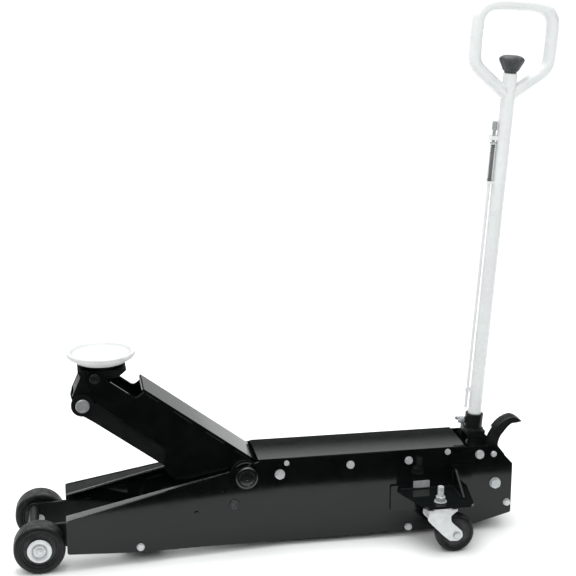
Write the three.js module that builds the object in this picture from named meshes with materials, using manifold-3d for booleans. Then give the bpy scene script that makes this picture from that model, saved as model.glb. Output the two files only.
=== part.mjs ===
// Long-chassis hydraulic floor jack for tyre and wheel service.
// Units are millimetres, +Z up, +X towards the handle end, the lifting end is at -X.
// Working coordinates put X = 0 on the front axle and Z = 0 on the floor; the last
// lines shift the whole assembly so that the origin is under the middle of its box.
import * as THREE from 'three';
import { mergeVertices } from 'three/addons/utils/BufferGeometryUtils.js';
import Module from 'manifold-3d';

const wasm = await Module();
wasm.setup();

// ---------------------------------------------------------------- dimensions
const GAP = 0.3;                 // running or fitting gap between neighbours
// chassis
const PLATE_T = 6;               // side plate thickness
const PLATE_X0 = 67;             // front edge of the side plates
const PLATE_X1 = 1225;           // rear edge of the side plates
const HALF_REAR = 72;            // half width over the parallel part
const HALF_FRONT = 124;          // half width at the flared front end
const FLARE_X = 620;             // the flare starts here and runs forward
const COVER_T = 3.2;
const COVER_TOP = 241;
const COVER_X0 = 550;
const COVER_X1 = 1096;
// front wheels
const FW_R = 63.5;
const FW_Y0 = 75.5;              // inner face
const FW_Y1 = 128;               // outer face
// rear casters
const CW_R = 50;
const CW_W = 34;
const CAST_Y = 170;              // king bolt and wheel plane
const CAST_X = 1001;             // king bolt
const CAST_TRAIL = 38;
const SHELF_TOP = 134;
// lift arm and linkage
const PIV = [518, 201];          // arm pivot on the chassis
const ARM_LEN = 457.8;           // pivot to saddle pin
const ARM_ELEV = 36.6;           // arm elevation as stored
const ROD_OFF = [-32, -71];      // from each arm pivot to the matching rod pivot
const CRANK_R = 70;              // pivot to crank pin
const CRANK_ANG = 16.5;          // crank forward of straight down as stored
const SADDLE_X = 169;
const SADDLE_TOP = 527;
const SADDLE_R = 84;
// hydraulics
const RAM_Z = 136;
const PUMP_X = 1156.5;            // pump plunger, worked by the handle
const FOOT_X = 1198;              // foot plunger, worked by the pedal
// handle
const HPIV = [1134, 215];        // handle pivot
const LEAN = 3.9;                // handle leans back from vertical
const TUBE_R = 17.5;
const LOOP_HALF = 96.84;            // centreline half width of the grip loop
const LOOP_TUBE_R = 16.5;

// ---------------------------------------------------------------- materials
const M = (color, roughness, metalness) => new THREE.MeshStandardMaterial({ color, roughness, metalness });
const BLACK = M(0x0d0f10, 0.22, 0.0);
const BLACK2 = M(0x141617, 0.35, 0.0);
const ZINC = M(0xc4c8c8, 0.35, 0.9);
const WHITE = M(0xe4e6e4, 0.3, 0.0);
const STEEL = M(0x8d9192, 0.4, 0.95);
const CHROME = M(0xc9cccd, 0.12, 1.0);
const RUBBER = M(0x17181a, 0.75, 0.0);
const CAST = M(0x34383a, 0.6, 0.4);
const PLASTIC = M(0x232527, 0.5, 0.0);
const SPRING = M(0x2c2e30, 0.4, 0.8);

// ---------------------------------------------------------------- geometry helpers
// turn a closed mesh so that its faces point out
const outward = (h) => {
  const p = h.attributes.position, ix = Array.from(h.index.array);
  let v = 0;
  for (let i = 0; i < ix.length; i += 3) {
    const [a, b, c] = [ix[i], ix[i + 1], ix[i + 2]];
    v += p.getX(a) * (p.getY(b) * p.getZ(c) - p.getZ(b) * p.getY(c))
      - p.getY(a) * (p.getX(b) * p.getZ(c) - p.getZ(b) * p.getX(c))
      + p.getZ(a) * (p.getX(b) * p.getY(c) - p.getY(b) * p.getX(c));
  }
  if (v < 0) {
    for (let i = 0; i < ix.length; i += 3) [ix[i + 1], ix[i + 2]] = [ix[i + 2], ix[i + 1]];
    h.setIndex(ix);
  }
  return h;
};
const strip = (g) => {
  const h = g.clone();
  for (const k of Object.keys(h.attributes)) if (k !== 'position') h.deleteAttribute(k);
  return outward(mergeVertices(h, 1e-4));
};
const solid = (g) => {
  if (!g.isBufferGeometry) return g;
  const h = strip(g);
  const tri = [];
  const ix = h.index.array;
  for (let i = 0; i < ix.length; i += 3) {
    if (ix[i] !== ix[i + 1] && ix[i + 1] !== ix[i + 2] && ix[i] !== ix[i + 2]) tri.push(ix[i], ix[i + 1], ix[i + 2]);
  }
  return new wasm.Manifold(new wasm.Mesh({
    numProp: 3,
    vertProperties: Float32Array.from(h.attributes.position.array),
    triVerts: Uint32Array.from(tri),
  }));
};
const join = (...gs) => gs.map(solid).reduce((a, b) => a.add(b));
const cut = (a, ...bs) => bs.map(solid).reduce((m, b) => m.subtract(b), solid(a));
const toGeometry = (m) => {
  const mesh = m.getMesh();
  const g = new THREE.BufferGeometry();
  const n = mesh.numProp;
  const pos = new Float32Array((mesh.vertProperties.length / n) * 3);
  for (let i = 0, j = 0; i < mesh.vertProperties.length; i += n, j += 3) {
    pos[j] = mesh.vertProperties[i]; pos[j + 1] = mesh.vertProperties[i + 1]; pos[j + 2] = mesh.vertProperties[i + 2];
  }
  g.setAttribute('position', new THREE.BufferAttribute(pos, 3));
  g.setIndex(new THREE.BufferAttribute(Uint32Array.from(mesh.triVerts), 1));
  return g;
};
const basis = (x, y, z, o) => new THREE.Matrix4().makeBasis(x, y, z).setPosition(o);
const vx = new THREE.Vector3(1, 0, 0), vy = new THREE.Vector3(0, 1, 0), vz = new THREE.Vector3(0, 0, 1);
const shapeOf = (pts, holes = []) => {
  const s = new THREE.Shape(pts.map((p) => new THREE.Vector2(p[0], p[1])));
  for (const h of holes) s.holes.push(new THREE.Path(h.map((p) => new THREE.Vector2(p[0], p[1]))));
  return s;
};
const circlePts = (cx, cy, r, n = 24, a0 = 0) => Array.from({ length: n }, (_, i) => {
  const a = a0 + (i / n) * Math.PI * 2;
  return [cx + r * Math.cos(a), cy + r * Math.sin(a)];
});
// outline in X-Z, thickness along Y from y0 to y1
const plateXZ = (pts, y0, y1, holes = []) => {
  const g = new THREE.ExtrudeGeometry(shapeOf(pts, holes), { depth: y1 - y0, bevelEnabled: false });
  return g.applyMatrix4(basis(vx, vz, vy.clone().negate(), new THREE.Vector3(0, y1, 0)));
};
// outline in X-Y, thickness along Z from z0 to z1
const plateXY = (pts, z0, z1, holes = []) => {
  const g = new THREE.ExtrudeGeometry(shapeOf(pts, holes), { depth: z1 - z0, bevelEnabled: false });
  return g.translate(0, 0, z0);
};
// outline in Y-Z, thickness along X from x0 to x1
const plateYZ = (pts, x0, x1, holes = []) => {
  const g = new THREE.ExtrudeGeometry(shapeOf(pts, holes), { depth: x1 - x0, bevelEnabled: false });
  return g.applyMatrix4(basis(vy, vz, vx, new THREE.Vector3(x0, 0, 0)));
};
const box = (x0, x1, y0, y1, z0, z1) => new THREE.BoxGeometry(x1 - x0, y1 - y0, z1 - z0)
  .translate((x0 + x1) / 2, (y0 + y1) / 2, (z0 + z1) / 2);
// facets round a cylinder: hexagons stay hexagons, the rest share even counts
const seg = (n) => (n <= 6 ? n : Math.max(8, 2 * Math.round(n * 0.33)));
// radius of a faceted hole whose flats clear a round shaft that turns in it
const runFit = (r, n) => (r + 0.12) / Math.cos(Math.PI / seg(n));
const cylY = (x, z, r, y0, y1, n = 20, rot = 0) => new THREE.CylinderGeometry(r, r, y1 - y0, seg(n)).rotateY(rot)
  .translate(x, (y0 + y1) / 2, z);
const cylZ = (x, y, r, z0, z1, n = 20, r2 = r, rot = 0) => new THREE.CylinderGeometry(r2, r, z1 - z0, seg(n)).rotateY(rot).rotateX(Math.PI / 2)
  .translate(x, y, (z0 + z1) / 2);
const cylX = (y, z, r, x0, x1, n = 20) => new THREE.CylinderGeometry(r, r, x1 - x0, seg(n)).rotateZ(-Math.PI / 2)
  .translate((x0 + x1) / 2, y, z);
// closed profile of [radius, height] points turned about an axis
const latheZ = (profile, x, y, z, n = 28) => new THREE.LatheGeometry(profile.map((p) => new THREE.Vector2(p[0], p[1])), n)
  .rotateX(Math.PI / 2).translate(x, y, z);
// dir = +1 turns the profile's height towards +Y, -1 towards -Y
const latheY = (profile, x, y, z, n = 28, dir = 1) => {
  const g = new THREE.LatheGeometry(profile.map((p) => new THREE.Vector2(p[0], p[1])), n);
  if (dir < 0) g.rotateZ(Math.PI);
  return g.translate(x, y, z);
};
const latheX = (profile, x, y, z, n = 28) => new THREE.LatheGeometry(profile.map((p) => new THREE.Vector2(p[0], p[1])), n)
  .rotateZ(-Math.PI / 2).translate(x, y, z);
// loft of equal-count [y, z] sections along X, sections run counter-clockwise seen from +X
const loftX = (stations) => {
  const n = stations[0].pts.length;
  const pos = [], idx = [];
  for (const s of stations) for (const p of s.pts) pos.push(s.x, p[0], p[1]);
  for (let k = 0; k + 1 < stations.length; k++) for (let i = 0; i < n; i++) {
    const a = k * n + i, b = k * n + (i + 1) % n, c = a + n, d = b + n;
    idx.push(a, b, d, a, d, c);
  }
  const cap = (s, off, flip) => {
    const contour = s.pts.map((p) => new THREE.Vector2(p[0], p[1]));
    for (const t of THREE.ShapeUtils.triangulateShape(contour, [])) {
      idx.push(off + t[0], off + (flip ? t[2] : t[1]), off + (flip ? t[1] : t[2]));
    }
  };
  cap(stations[0], 0, true);
  cap(stations[stations.length - 1], (stations.length - 1) * n, false);
  const g = new THREE.BufferGeometry();
  g.setAttribute('position', new THREE.BufferAttribute(new Float32Array(pos), 3));
  g.setIndex(idx);
  return g;
};
const table = (rows) => (x) => {
  for (let i = 0; i + 1 < rows.length; i++) {
    if (x <= rows[i + 1][0]) {
      const t = Math.max(0, (x - rows[i][0]) / (rows[i + 1][0] - rows[i][0]));
      return rows[i][1] + t * (rows[i + 1][1] - rows[i][1]);
    }
  }
  return rows[rows.length - 1][1];
};
const mirrorY = (g) => {
  const h = strip(g.isBufferGeometry ? g : toGeometry(g));
  const p = h.attributes.position;
  for (let i = 0; i < p.count; i++) p.setY(i, -p.getY(i));
  return outward(h);
};

const jack = new THREE.Group();
const add = (name, g, material) => {
  const geometry = strip(g.isBufferGeometry ? g : toGeometry(g));
  const flat = geometry.index ? geometry.toNonIndexed() : geometry;
  flat.computeVertexNormals();
  const mesh = new THREE.Mesh(flat, material);
  mesh.name = name;
  jack.add(mesh);
  return mesh;
};

// ---------------------------------------------------------------- side plates
const halfOut = table([[PLATE_X0, HALF_FRONT], [FLARE_X, HALF_REAR], [PLATE_X1, HALF_REAR]]);
const zBot = table([[PLATE_X0, 46], [240, 30], [400, 25], [530, 19], [650, 15], [1015, 16], [1131, 22], [PLATE_X1, 47]]);
const zTop = table([[PLATE_X0, 131], [323, 186], [467, 213], [552, 237], [1176, 237], [PLATE_X1, 184]]);
const flangeW = table([[PLATE_X0, 54], [323, 24], [476, 14]]);
const STATIONS = [PLATE_X0, 240, 323, 400, 467, 530, 552, 620, 650, 1015, 1131, 1176, PLATE_X1];

// through bolts that tie the two plates: x, z, shank radius, head radius, head height
const TIES = [
  ['front_tie_bolt', 247, 45, 6, 10, 7],
  ['arm_stop_bolt', 605, 199, 8, 13, 9],
  ['cover_bolt_front', 623, 227, 4, 7, 4],
  ['frame_bolt_middle', 789, 211, 6, 10.5, 7],
  ['frame_bolt_rear', 943, 212, 6, 10.5, 7],
  ['frame_bolt_lower', 946, 27, 6, 10, 7],
  ['cover_bolt_rear', 1047, 228, 4.5, 8, 4.5],
  ['pump_mount_bolt', 1179, 133, 8, 15, 10],
  ['rear_tie_bolt', 1213, 76, 5.5, 10, 7],
];
// rod pivot on the chassis
const ROD_PIV = [PIV[0] + ROD_OFF[0], PIV[1] + ROD_OFF[1]];
const PEDAL_PIV = [1172, 214];

const sidePlate = () => {
  // built for the -Y side
  const web = loftX(STATIONS.map((x) => {
    const o = -halfOut(x), i = o + PLATE_T;
    return { x, pts: [[o, zBot(x)], [i, zBot(x)], [i, zTop(x)], [o, zTop(x)]] };
  }));
  // folded top flange, sloping 7 degrees down towards the inside
  const flange = loftX([PLATE_X0, 323, 400, 467, 476].map((x) => {
    const o = -halfOut(x) + 1, w = flangeW(x), zt = zTop(x);
    return { x, pts: [[o, zt - 5], [o + w, zt - 5 - w * 0.125], [o + w, zt - w * 0.125], [o, zt - 0.12]] };
  }));
  // two short studs stand on the outer face behind the flared part
  const studs = [[463, 169, 6], [390, 117, 6]].map(([x, z, r]) => cylY(x, z, r, -halfOut(x) - 3.5, -halfOut(x) + 2, 10));
  let p = join(web, flange, ...studs);
  const holes = TIES.map(([, x, z, r]) => cylY(x, z, r + GAP, -160, -40, 14));
  holes.push(cylY(PIV[0], PIV[1], 19 + GAP, -160, -40, 28));
  holes.push(cylY(ROD_PIV[0], ROD_PIV[1], 13 + GAP, -160, -40, 18));
  holes.push(cylY(HPIV[0], HPIV[1], 8 + GAP, -160, -40, 16));
  holes.push(cylY(PEDAL_PIV[0], PEDAL_PIV[1], 5 + GAP, -160, -40, 12));
  return cut(p, ...holes);
};
const plateRight = sidePlate();
add('side_plate_right', plateRight, BLACK);
add('side_plate_left', mirrorY(plateRight), BLACK);

// ---------------------------------------------------------------- top cover: folded lid with inner skirts
{
  const w = HALF_REAR, s = HALF_REAR - PLATE_T - GAP, s2 = s - COVER_T, zt = COVER_TOP, zu = COVER_TOP - COVER_T, zs = 219;
  const sec = [[-s, zu], [-s, zs], [-s2, zs], [-s2, zu], [s2, zu], [s2, zs], [s, zs], [s, zu], [w, zu], [w, zt], [-w, zt], [-w, zu]];
  let c = solid(loftX([{ x: COVER_X0, pts: sec }, { x: COVER_X1, pts: sec }]));
  // the front corner above the arm is cut back where the lid meets the flare
  c = cut(c, cylY(623, 227, 4 + GAP, -100, 100, 14), cylY(1047, 228, 4.5 + GAP, -100, 100, 14));
  add('top_cover', c, BLACK);
}

// ---------------------------------------------------------------- front subframe: axle bearers, nose bar and belly plate
{
  const outline = [[-24, 50], [-10, 42], [14, 42], [60, 46], [150, 40], [300, 33], [300, 60], [230, 84], [150, 100], [58, 108], [30, 106], [-4, 106], [-26, 98], [-30, 76]];
  const bearer = (s) => {
    const y0 = s > 0 ? 64 : -74, y1 = s > 0 ? 74 : -64;
    return plateXZ(outline, y0, y1);
  };
  const bar = cylY(-14, 91, 13, -65, 65, 18);
  const yb = (x) => halfOut(x) - PLATE_T - GAP;
  const belly = plateXY([[205, -yb(205)], [300, -yb(300)], [300, yb(300)], [205, yb(205)]], 33, 39);
  let f = join(bearer(1), bearer(-1), bar, belly);
  // top straps that carry the bearers out to the side plates
  const strap = (s) => plateXY([[72, s * 70], [72, s * (yb(72))], [112, s * (yb(112))], [112, s * 70]].slice(), 94, 100);
  const flipped = (s) => plateXY([[72, s * 70], [112, s * 70], [112, s * yb(112)], [72, s * yb(72)]], 94, 100);
  f = join(f, flipped(1), strap(-1));
  f = cut(f, cylY(0, FW_R, 12 + GAP, -80, 80, 20), cylY(247, 45, 6 + GAP, -120, 120, 14));
  add('front_subframe', f, BLACK2);
}

// ---------------------------------------------------------------- front wheels and their axle bolts
{
  const w = FW_Y1 - FW_Y0;
  const wheel = () => latheY([
    [12.8, 0], [56, 0], [61.5, 3.5], [FW_R, 9], [FW_R, w - 9], [61.5, w - 3.5], [56, w], [12.8, w], [12.8, 0],
  ], 0, FW_Y0, FW_R, 24);
  add('front_wheel_left', wheel(), RUBBER);
  add('front_wheel_right', mirrorY(wheel()), RUBBER);
  const bolt = () => join(
    cylY(0, FW_R, 12, 62.5, FW_Y1 + 1, 20),
    latheY([[0, 0], [30, 0], [30, 3.4], [27, 5], [0, 5]], 0, FW_Y1 + GAP, FW_R, 20),
    cylY(0, FW_R, 10.5, FW_Y1 + 4, FW_Y1 + 12, 6),
  );
  const b = bolt();
  add('front_axle_bolt_left', b, ZINC);
  add('front_axle_bolt_right', mirrorY(b), ZINC);
}

// ---------------------------------------------------------------- through bolts
for (const [name, x, z, r, hr, hh] of TIES) {
  const o = halfOut(x - hr) + GAP;      // the heads clear the flared part of the plates
  add(name, join(
    cylY(x, z, r, -o - 1, o + 1, 14),
    cylY(x, z, hr, -o - hh, -o, 6), cylY(x, z, hr, o, o + hh, 6),
  ), ZINC);
}

// ---------------------------------------------------------------- rear cross plate
{
  const s = HALF_REAR - PLATE_T - GAP;
  add('rear_cross_plate', plateYZ([[-s, 56], [s, 56], [s, 168], [34, 168], [26, 158], [-26, 158], [-34, 168], [-s, 168]], 1220.6, 1224.6), BLACK2);
}

// ---------------------------------------------------------------- lift arm
const rad = (d) => (d * Math.PI) / 180;
const cu = Math.cos(rad(ARM_ELEV)), su = Math.sin(rad(ARM_ELEV));
// arm coordinates: u from the pivot along the arm, v square to it and up
const A2 = (u, v) => [PIV[0] - u * cu + v * su, PIV[1] + u * su + v * cu];
const SAD_PIN = A2(ARM_LEN, 0);
const LOW_PIN = [SAD_PIN[0] + ROD_OFF[0], SAD_PIN[1] + ROD_OFF[1]];
const CRANK = [PIV[0] - CRANK_R * Math.sin(rad(CRANK_ANG)), PIV[1] - CRANK_R * Math.cos(rad(CRANK_ANG))];
{
  const outline = [[-20, 36], [-48, 20], [-52, -8], [-40, -34], [-14, -50], [22, -50], [56, -38], [82, -56], [104, -84], [136, -106], [168, -106], [186, -92], [198, -53], [400, -52], [424, -46], [446, -36], [470, -20], [481, -6], [481, 6], [470, 13], [344, 13], [337, 38], [-10, 38]];
  const pts = outline.map(([u, v]) => A2(u, v)).reverse();
  const cheek = (s) => plateXZ(pts, s > 0 ? 50 : -57.5, s > 0 ? 57.5 : -50);
  const top = plateXZ([[-14, 38], [345, 38], [345, 44.5], [-14, 44.5]].map(([u, v]) => A2(u, v)).reverse(), -60, 60);
  const hubY = halfOut(PIV[0] + 36) - PLATE_T - 0.8;
  const hub = cylY(PIV[0], PIV[1], 34, -hubY, hubY, 24);
  const lug = (s) => {
    const a = rad(CRANK_ANG);
    const d = [-Math.sin(a), -Math.cos(a)], n = [-d[1], d[0]];
    const q = (r, t) => [PIV[0] + d[0] * r + n[0] * t, PIV[1] + d[1] * r + n[1] * t];
    const arc = [];
    for (let k = 0; k <= 8; k++) { const b = Math.PI / 2 - (k / 8) * Math.PI; arc.push(q(CRANK_R + 22 * Math.cos(b), 22 * Math.sin(b))); }
    const body = [q(10, 30), ...arc, q(10, -30)].reverse();
    return plateXZ(body, s > 0 ? 13 : -26, s > 0 ? 26 : -13);
  };
  // two stiffening webs between the cheeks, under the top plate
  const web = (u0, u1, v0, v1) => plateXZ([[u0, v0], [u1, v0], [u1, v1], [u0, v1]].map(([u, v]) => A2(u, v)).reverse(), -51, 51);
  let arm = join(cheek(1), cheek(-1), top, hub, lug(1), lug(-1), web(120, 127, -24, 39), web(262, 269, -18, 39));
  arm = cut(arm,
    cylY(PIV[0], PIV[1], 19 + GAP, -90, 90, 28),
    cylY(SAD_PIN[0], SAD_PIN[1], 10 + GAP, -70, 70, 18));
  // the crank pin is pressed into both lugs
  arm = join(arm, cylY(CRANK[0], CRANK[1], 12, -29, 29, 20));
  add('lift_arm', arm, BLACK);
}
// pivot shaft with a round collar at each end
{
  const o = halfOut(PIV[0] - 30) + GAP;
  add('arm_pivot_shaft', join(
    cylY(PIV[0], PIV[1], 19, -o - 6, o + 6, 28),
    latheY([[0, 0], [29, 0], [29, 9], [25, 13], [0, 13]], PIV[0], o, PIV[1], 26),
    latheY([[0, 0], [29, 0], [29, 9], [25, 13], [0, 13]], PIV[0], -o, PIV[1], 26, -1),
  ), BLACK2);
}

// ---------------------------------------------------------------- saddle yoke, pins and radius rods
{
  const cheekPts = [
    [212, 486], [200, 474], [186, 456], [172, 436], [158, 412], [147, 396],
    ...Array.from({ length: 9 }, (_, k) => { const a = rad(-18 - k * 20.5); return [LOW_PIN[0] + 26 * Math.cos(a), LOW_PIN[1] + 26 * Math.sin(a)]; }),
    [94, 424], [104, 446], [113, 466], [120, 486],
  ];
  const cheek = (s) => plateXZ(cheekPts.slice().reverse(), s > 0 ? 30 : -39.5, s > 0 ? 39.5 : -30);
  const head = plateXZ([[109, 490.5], [116, 478], [122, 470], [206, 470], [216, 478], [230, 490.5]].reverse(), -47.5, 47.5);
  const boss = cylY(SAD_PIN[0], SAD_PIN[1], 16, -49, 49, 18);
  const tie = plateXZ([[98, 432], [106, 428], [122, 462], [114, 466]].reverse(), -31, 31);
  let y = join(cheek(1), cheek(-1), head, boss, tie);
  y = cut(y,
    cylY(SAD_PIN[0], SAD_PIN[1], runFit(10, 18), -70, 70, 18),
    cylY(LOW_PIN[0], LOW_PIN[1], 14 + GAP, -70, 70, 20),
    cylZ(SADDLE_X, 0, 9.5, 477, 520, 16));
  add('saddle_yoke', y, BLACK);
}
add('saddle_pin', join(cylY(SAD_PIN[0], SAD_PIN[1], 10, -59, 59, 18), cylY(SAD_PIN[0], SAD_PIN[1], 12.5, -61.5, -57.8, 18), cylY(SAD_PIN[0], SAD_PIN[1], 12.5, 57.8, 61.5, 18)), STEEL);
add('rod_front_pin', join(cylY(LOW_PIN[0], LOW_PIN[1], 14, -50, 50, 20), cylY(LOW_PIN[0], LOW_PIN[1], 17, -56, -48.9, 24), cylY(LOW_PIN[0], LOW_PIN[1], 17, 48.9, 56, 24)), ZINC);
{
  const dx = LOW_PIN[0] - ROD_PIV[0], dz = LOW_PIN[1] - ROD_PIV[1];
  const L = Math.hypot(dx, dz), d = [dx / L, dz / L], n = [-d[1], d[0]];
  const q = (u, v) => [ROD_PIV[0] + d[0] * u + n[0] * v, ROD_PIV[1] + d[1] * u + n[1] * v];
  const eye = (u, r, a0, a1) => Array.from({ length: 11 }, (_, k) => { const a = rad(a0 + (k / 10) * (a1 - a0)); return q(u + r * Math.cos(a), r * Math.sin(a)); });
  const pts = [...eye(0, 24, 60, 300), q(40, -19), q(L - 44, -20), ...eye(L, 28, -130, 130), q(L - 44, 20), q(40, 19)];
  const ring = (s, y0, y1) => cut(plateXZ(pts, y0, y1),
    cylY(LOW_PIN[0], LOW_PIN[1], runFit(14, 20), -70, 70, 20), cylY(ROD_PIV[0], ROD_PIV[1], runFit(13, 18), -90, 90, 18));
  add('radius_rod_left', ring(1, 40.5, 48.5), BLACK);
  add('radius_rod_right', ring(-1, -48.5, -40.5), BLACK);
}
for (const [name, s] of [['rod_pivot_pin_left', 1], ['rod_pivot_pin_right', -1]]) {
  const o = halfOut(ROD_PIV[0]), y0 = s * 36, y1 = s * (o + 3);
  const c = (r, a, b) => cylY(ROD_PIV[0], ROD_PIV[1], r, Math.min(a, b), Math.max(a, b), 18);
  add(name, join(c(13, y0, y1), c(16, s * 35, s * 39.9)), STEEL);
}

// ---------------------------------------------------------------- saddle: shallow dished disc on a stub
{
  const h = SADDLE_TOP;
  add('saddle', latheZ([
    [0, 478], [9, 478], [9, h - 36.2], [47, h - 36.2], [55, h - 30], [62, h - 24], [80, h - 13], [SADDLE_R, h - 9], [SADDLE_R, h - 2], [SADDLE_R - 2, h], [74, h], [70, h - 7], [0, h - 7],
  ], SADDLE_X, 0, 0, 28), WHITE);
}

// ---------------------------------------------------------------- hydraulic unit
add('ram_head', cut(
  join(
    box(CRANK[0] - 28, CRANK[0] + 74, -12, 12, 106, 160),
    box(CRANK[0] + 62, CRANK[0] + 72, -62, 62, 122, 144),
      ),
  box(CRANK[0] - 14, CRANK[0] + 14, -20, 20, 117, 155),
  cylX(0, RAM_Z, 10.3, CRANK[0] + 50, CRANK[0] + 80, 16),
), STEEL);
add('ram_rod', join(cylX(0, RAM_Z, 10, CRANK[0] + 53, CRANK[0] + 76, 16), cylX(0, RAM_Z, 18, CRANK[0] + 74.4, 802, 24), cylX(0, RAM_Z, 27.6, 800, 822, 24)), CHROME);
add('hydraulic_cylinder', cut(
  join(
    cylX(0, RAM_Z, 38, 650, 1069, 28),
    latheX([[0, 0], [34, 0], [37, 3], [37, 20], [0, 20]], 632, 0, RAM_Z, 24),
    box(742, 752, -65, 65, 92, 176),
    cylX(0, RAM_Z, 48, 800, 1069, 28),
  ),
  cylX(0, RAM_Z, 28, 648, 1050, 24),
  cylX(0, RAM_Z, 18 + GAP, 620, 660, 24),
), CAST);
add('pump_block', cut(
  join(box(1069.3, 1207, -56, 56, 62, 150), cylZ(PUMP_X, 0, 12, 149, 156, 16), cylZ(FOOT_X, -48, 8.8, 149, 156, 12)),
  cylZ(PUMP_X, 0, 9 + GAP, 78, 170, 16),
  cylZ(FOOT_X, -48, 6 + GAP, 96, 170, 12),
  cylZ(HPIV[0], 0, runFit(6, 12), 110, 170, 12),
  cylY(1179, 133, 8 + GAP, -80, 80, 14),
), CAST);

// ---------------------------------------------------------------- rear casters
const CAX = CAST_X + CAST_TRAIL;
{
  // shelf with a turned-down front edge, two gussets and a backing plate (right side, -Y)
  const yi = -(HALF_REAR + GAP), yp = yi - 6;
  const shelf = plateXY([[912, yp + 1], [954, -194], [962, -201], [1074, -201], [1082, -192], [1100, yp + 1]].reverse(), SHELF_TOP - 6, SHELF_TOP);
  const back = box(896, 1112, yp, yi, 76, 146);
  const gusset = (x0, x1, tipX) => plateYZ([[yp + 1, SHELF_TOP - 1], [yp + 1, 186], [-92, 186], [-166, SHELF_TOP + 4], [-166, SHELF_TOP - 1]], x0, x1);
  const rim = loftX([{ x: 930, pts: [[-139, SHELF_TOP - 20], [-133, SHELF_TOP - 20], [-133, SHELF_TOP - 1], [-139, SHELF_TOP - 1]] }, { x: 956, pts: [[-200, SHELF_TOP - 20], [-194, SHELF_TOP - 20], [-194, SHELF_TOP - 1], [-200, SHELF_TOP - 1]] }]);
  const upper = box(1052, 1112, yp, yi, 140, 192);
  let b = join(shelf, back, upper, gusset(1062, 1067));
  b = cut(b, cylZ(CAST_X, -CAST_Y, 8 + GAP, 100, 160, 16));
  add('caster_bracket_right', b, BLACK);
  add('caster_bracket_left', mirrorY(b), BLACK);

  const king = join(
    cylZ(CAST_X, -CAST_Y, 8, 113, 176, 14),
    cylZ(CAST_X, -CAST_Y, 16, SHELF_TOP + GAP, SHELF_TOP + 3.3, 20),
    cylZ(CAST_X, -CAST_Y, 13, SHELF_TOP + 3, SHELF_TOP + 16, 6),
    cylZ(CAST_X, -CAST_Y, 13, 112.5, 117, 18),
  );
  add('caster_king_bolt_right', king, ZINC);
  add('caster_king_bolt_left', mirrorY(king), ZINC);

  const leg = (y0, y1) => plateXZ([[966, 118], [962, 96], [1000, 56], [1022, 36], [1044, 35], [1055, 46], [1053, 60], [1024, 88], [1022, 104], [1040, 118]].reverse(), y0, y1);
  let fork = join(
    leg(-CAST_Y - 25, -CAST_Y - 20.5), leg(-CAST_Y + 20.5, -CAST_Y + 25),
    plateXY([[964, -CAST_Y - 25], [1040, -CAST_Y - 25], [1040, -CAST_Y + 25], [964, -CAST_Y + 25]], 117.4, 121.5),
    cylZ(CAST_X, -CAST_Y, 33, 121, 127.4, 26),
  );
  fork = cut(fork, cylZ(CAST_X, -CAST_Y, 8.5, 90, 140, 16), cylY(CAX, CW_R, 6 + GAP, -CAST_Y - 40, -CAST_Y + 40, 14));
  add('caster_fork_right', fork, ZINC);
  add('caster_fork_left', mirrorY(fork), ZINC);

  const w = CW_W;
  const wheel = latheY([[6.8, -1.5], [14, -1.5], [14, 0], [43, 0], [CW_R, 9], [CW_R, w - 9], [43, w], [14, w], [14, w + 1.5], [6.8, w + 1.5], [6.8, -1.5]], CAX, -CAST_Y - w / 2, CW_R, 24);
  add('caster_wheel_right', wheel, RUBBER);
  add('caster_wheel_left', mirrorY(wheel), RUBBER);
  const ax = join(cylY(CAX, CW_R, 6, -CAST_Y - 26, -CAST_Y + 26, 14), cylY(CAX, CW_R, 10, -CAST_Y - 32, -CAST_Y - 25.3, 6), cylY(CAX, CW_R, 10, -CAST_Y + 25.3, -CAST_Y + 32, 6));
  add('caster_axle_right', ax, ZINC);
  add('caster_axle_left', mirrorY(ax), ZINC);
}

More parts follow.
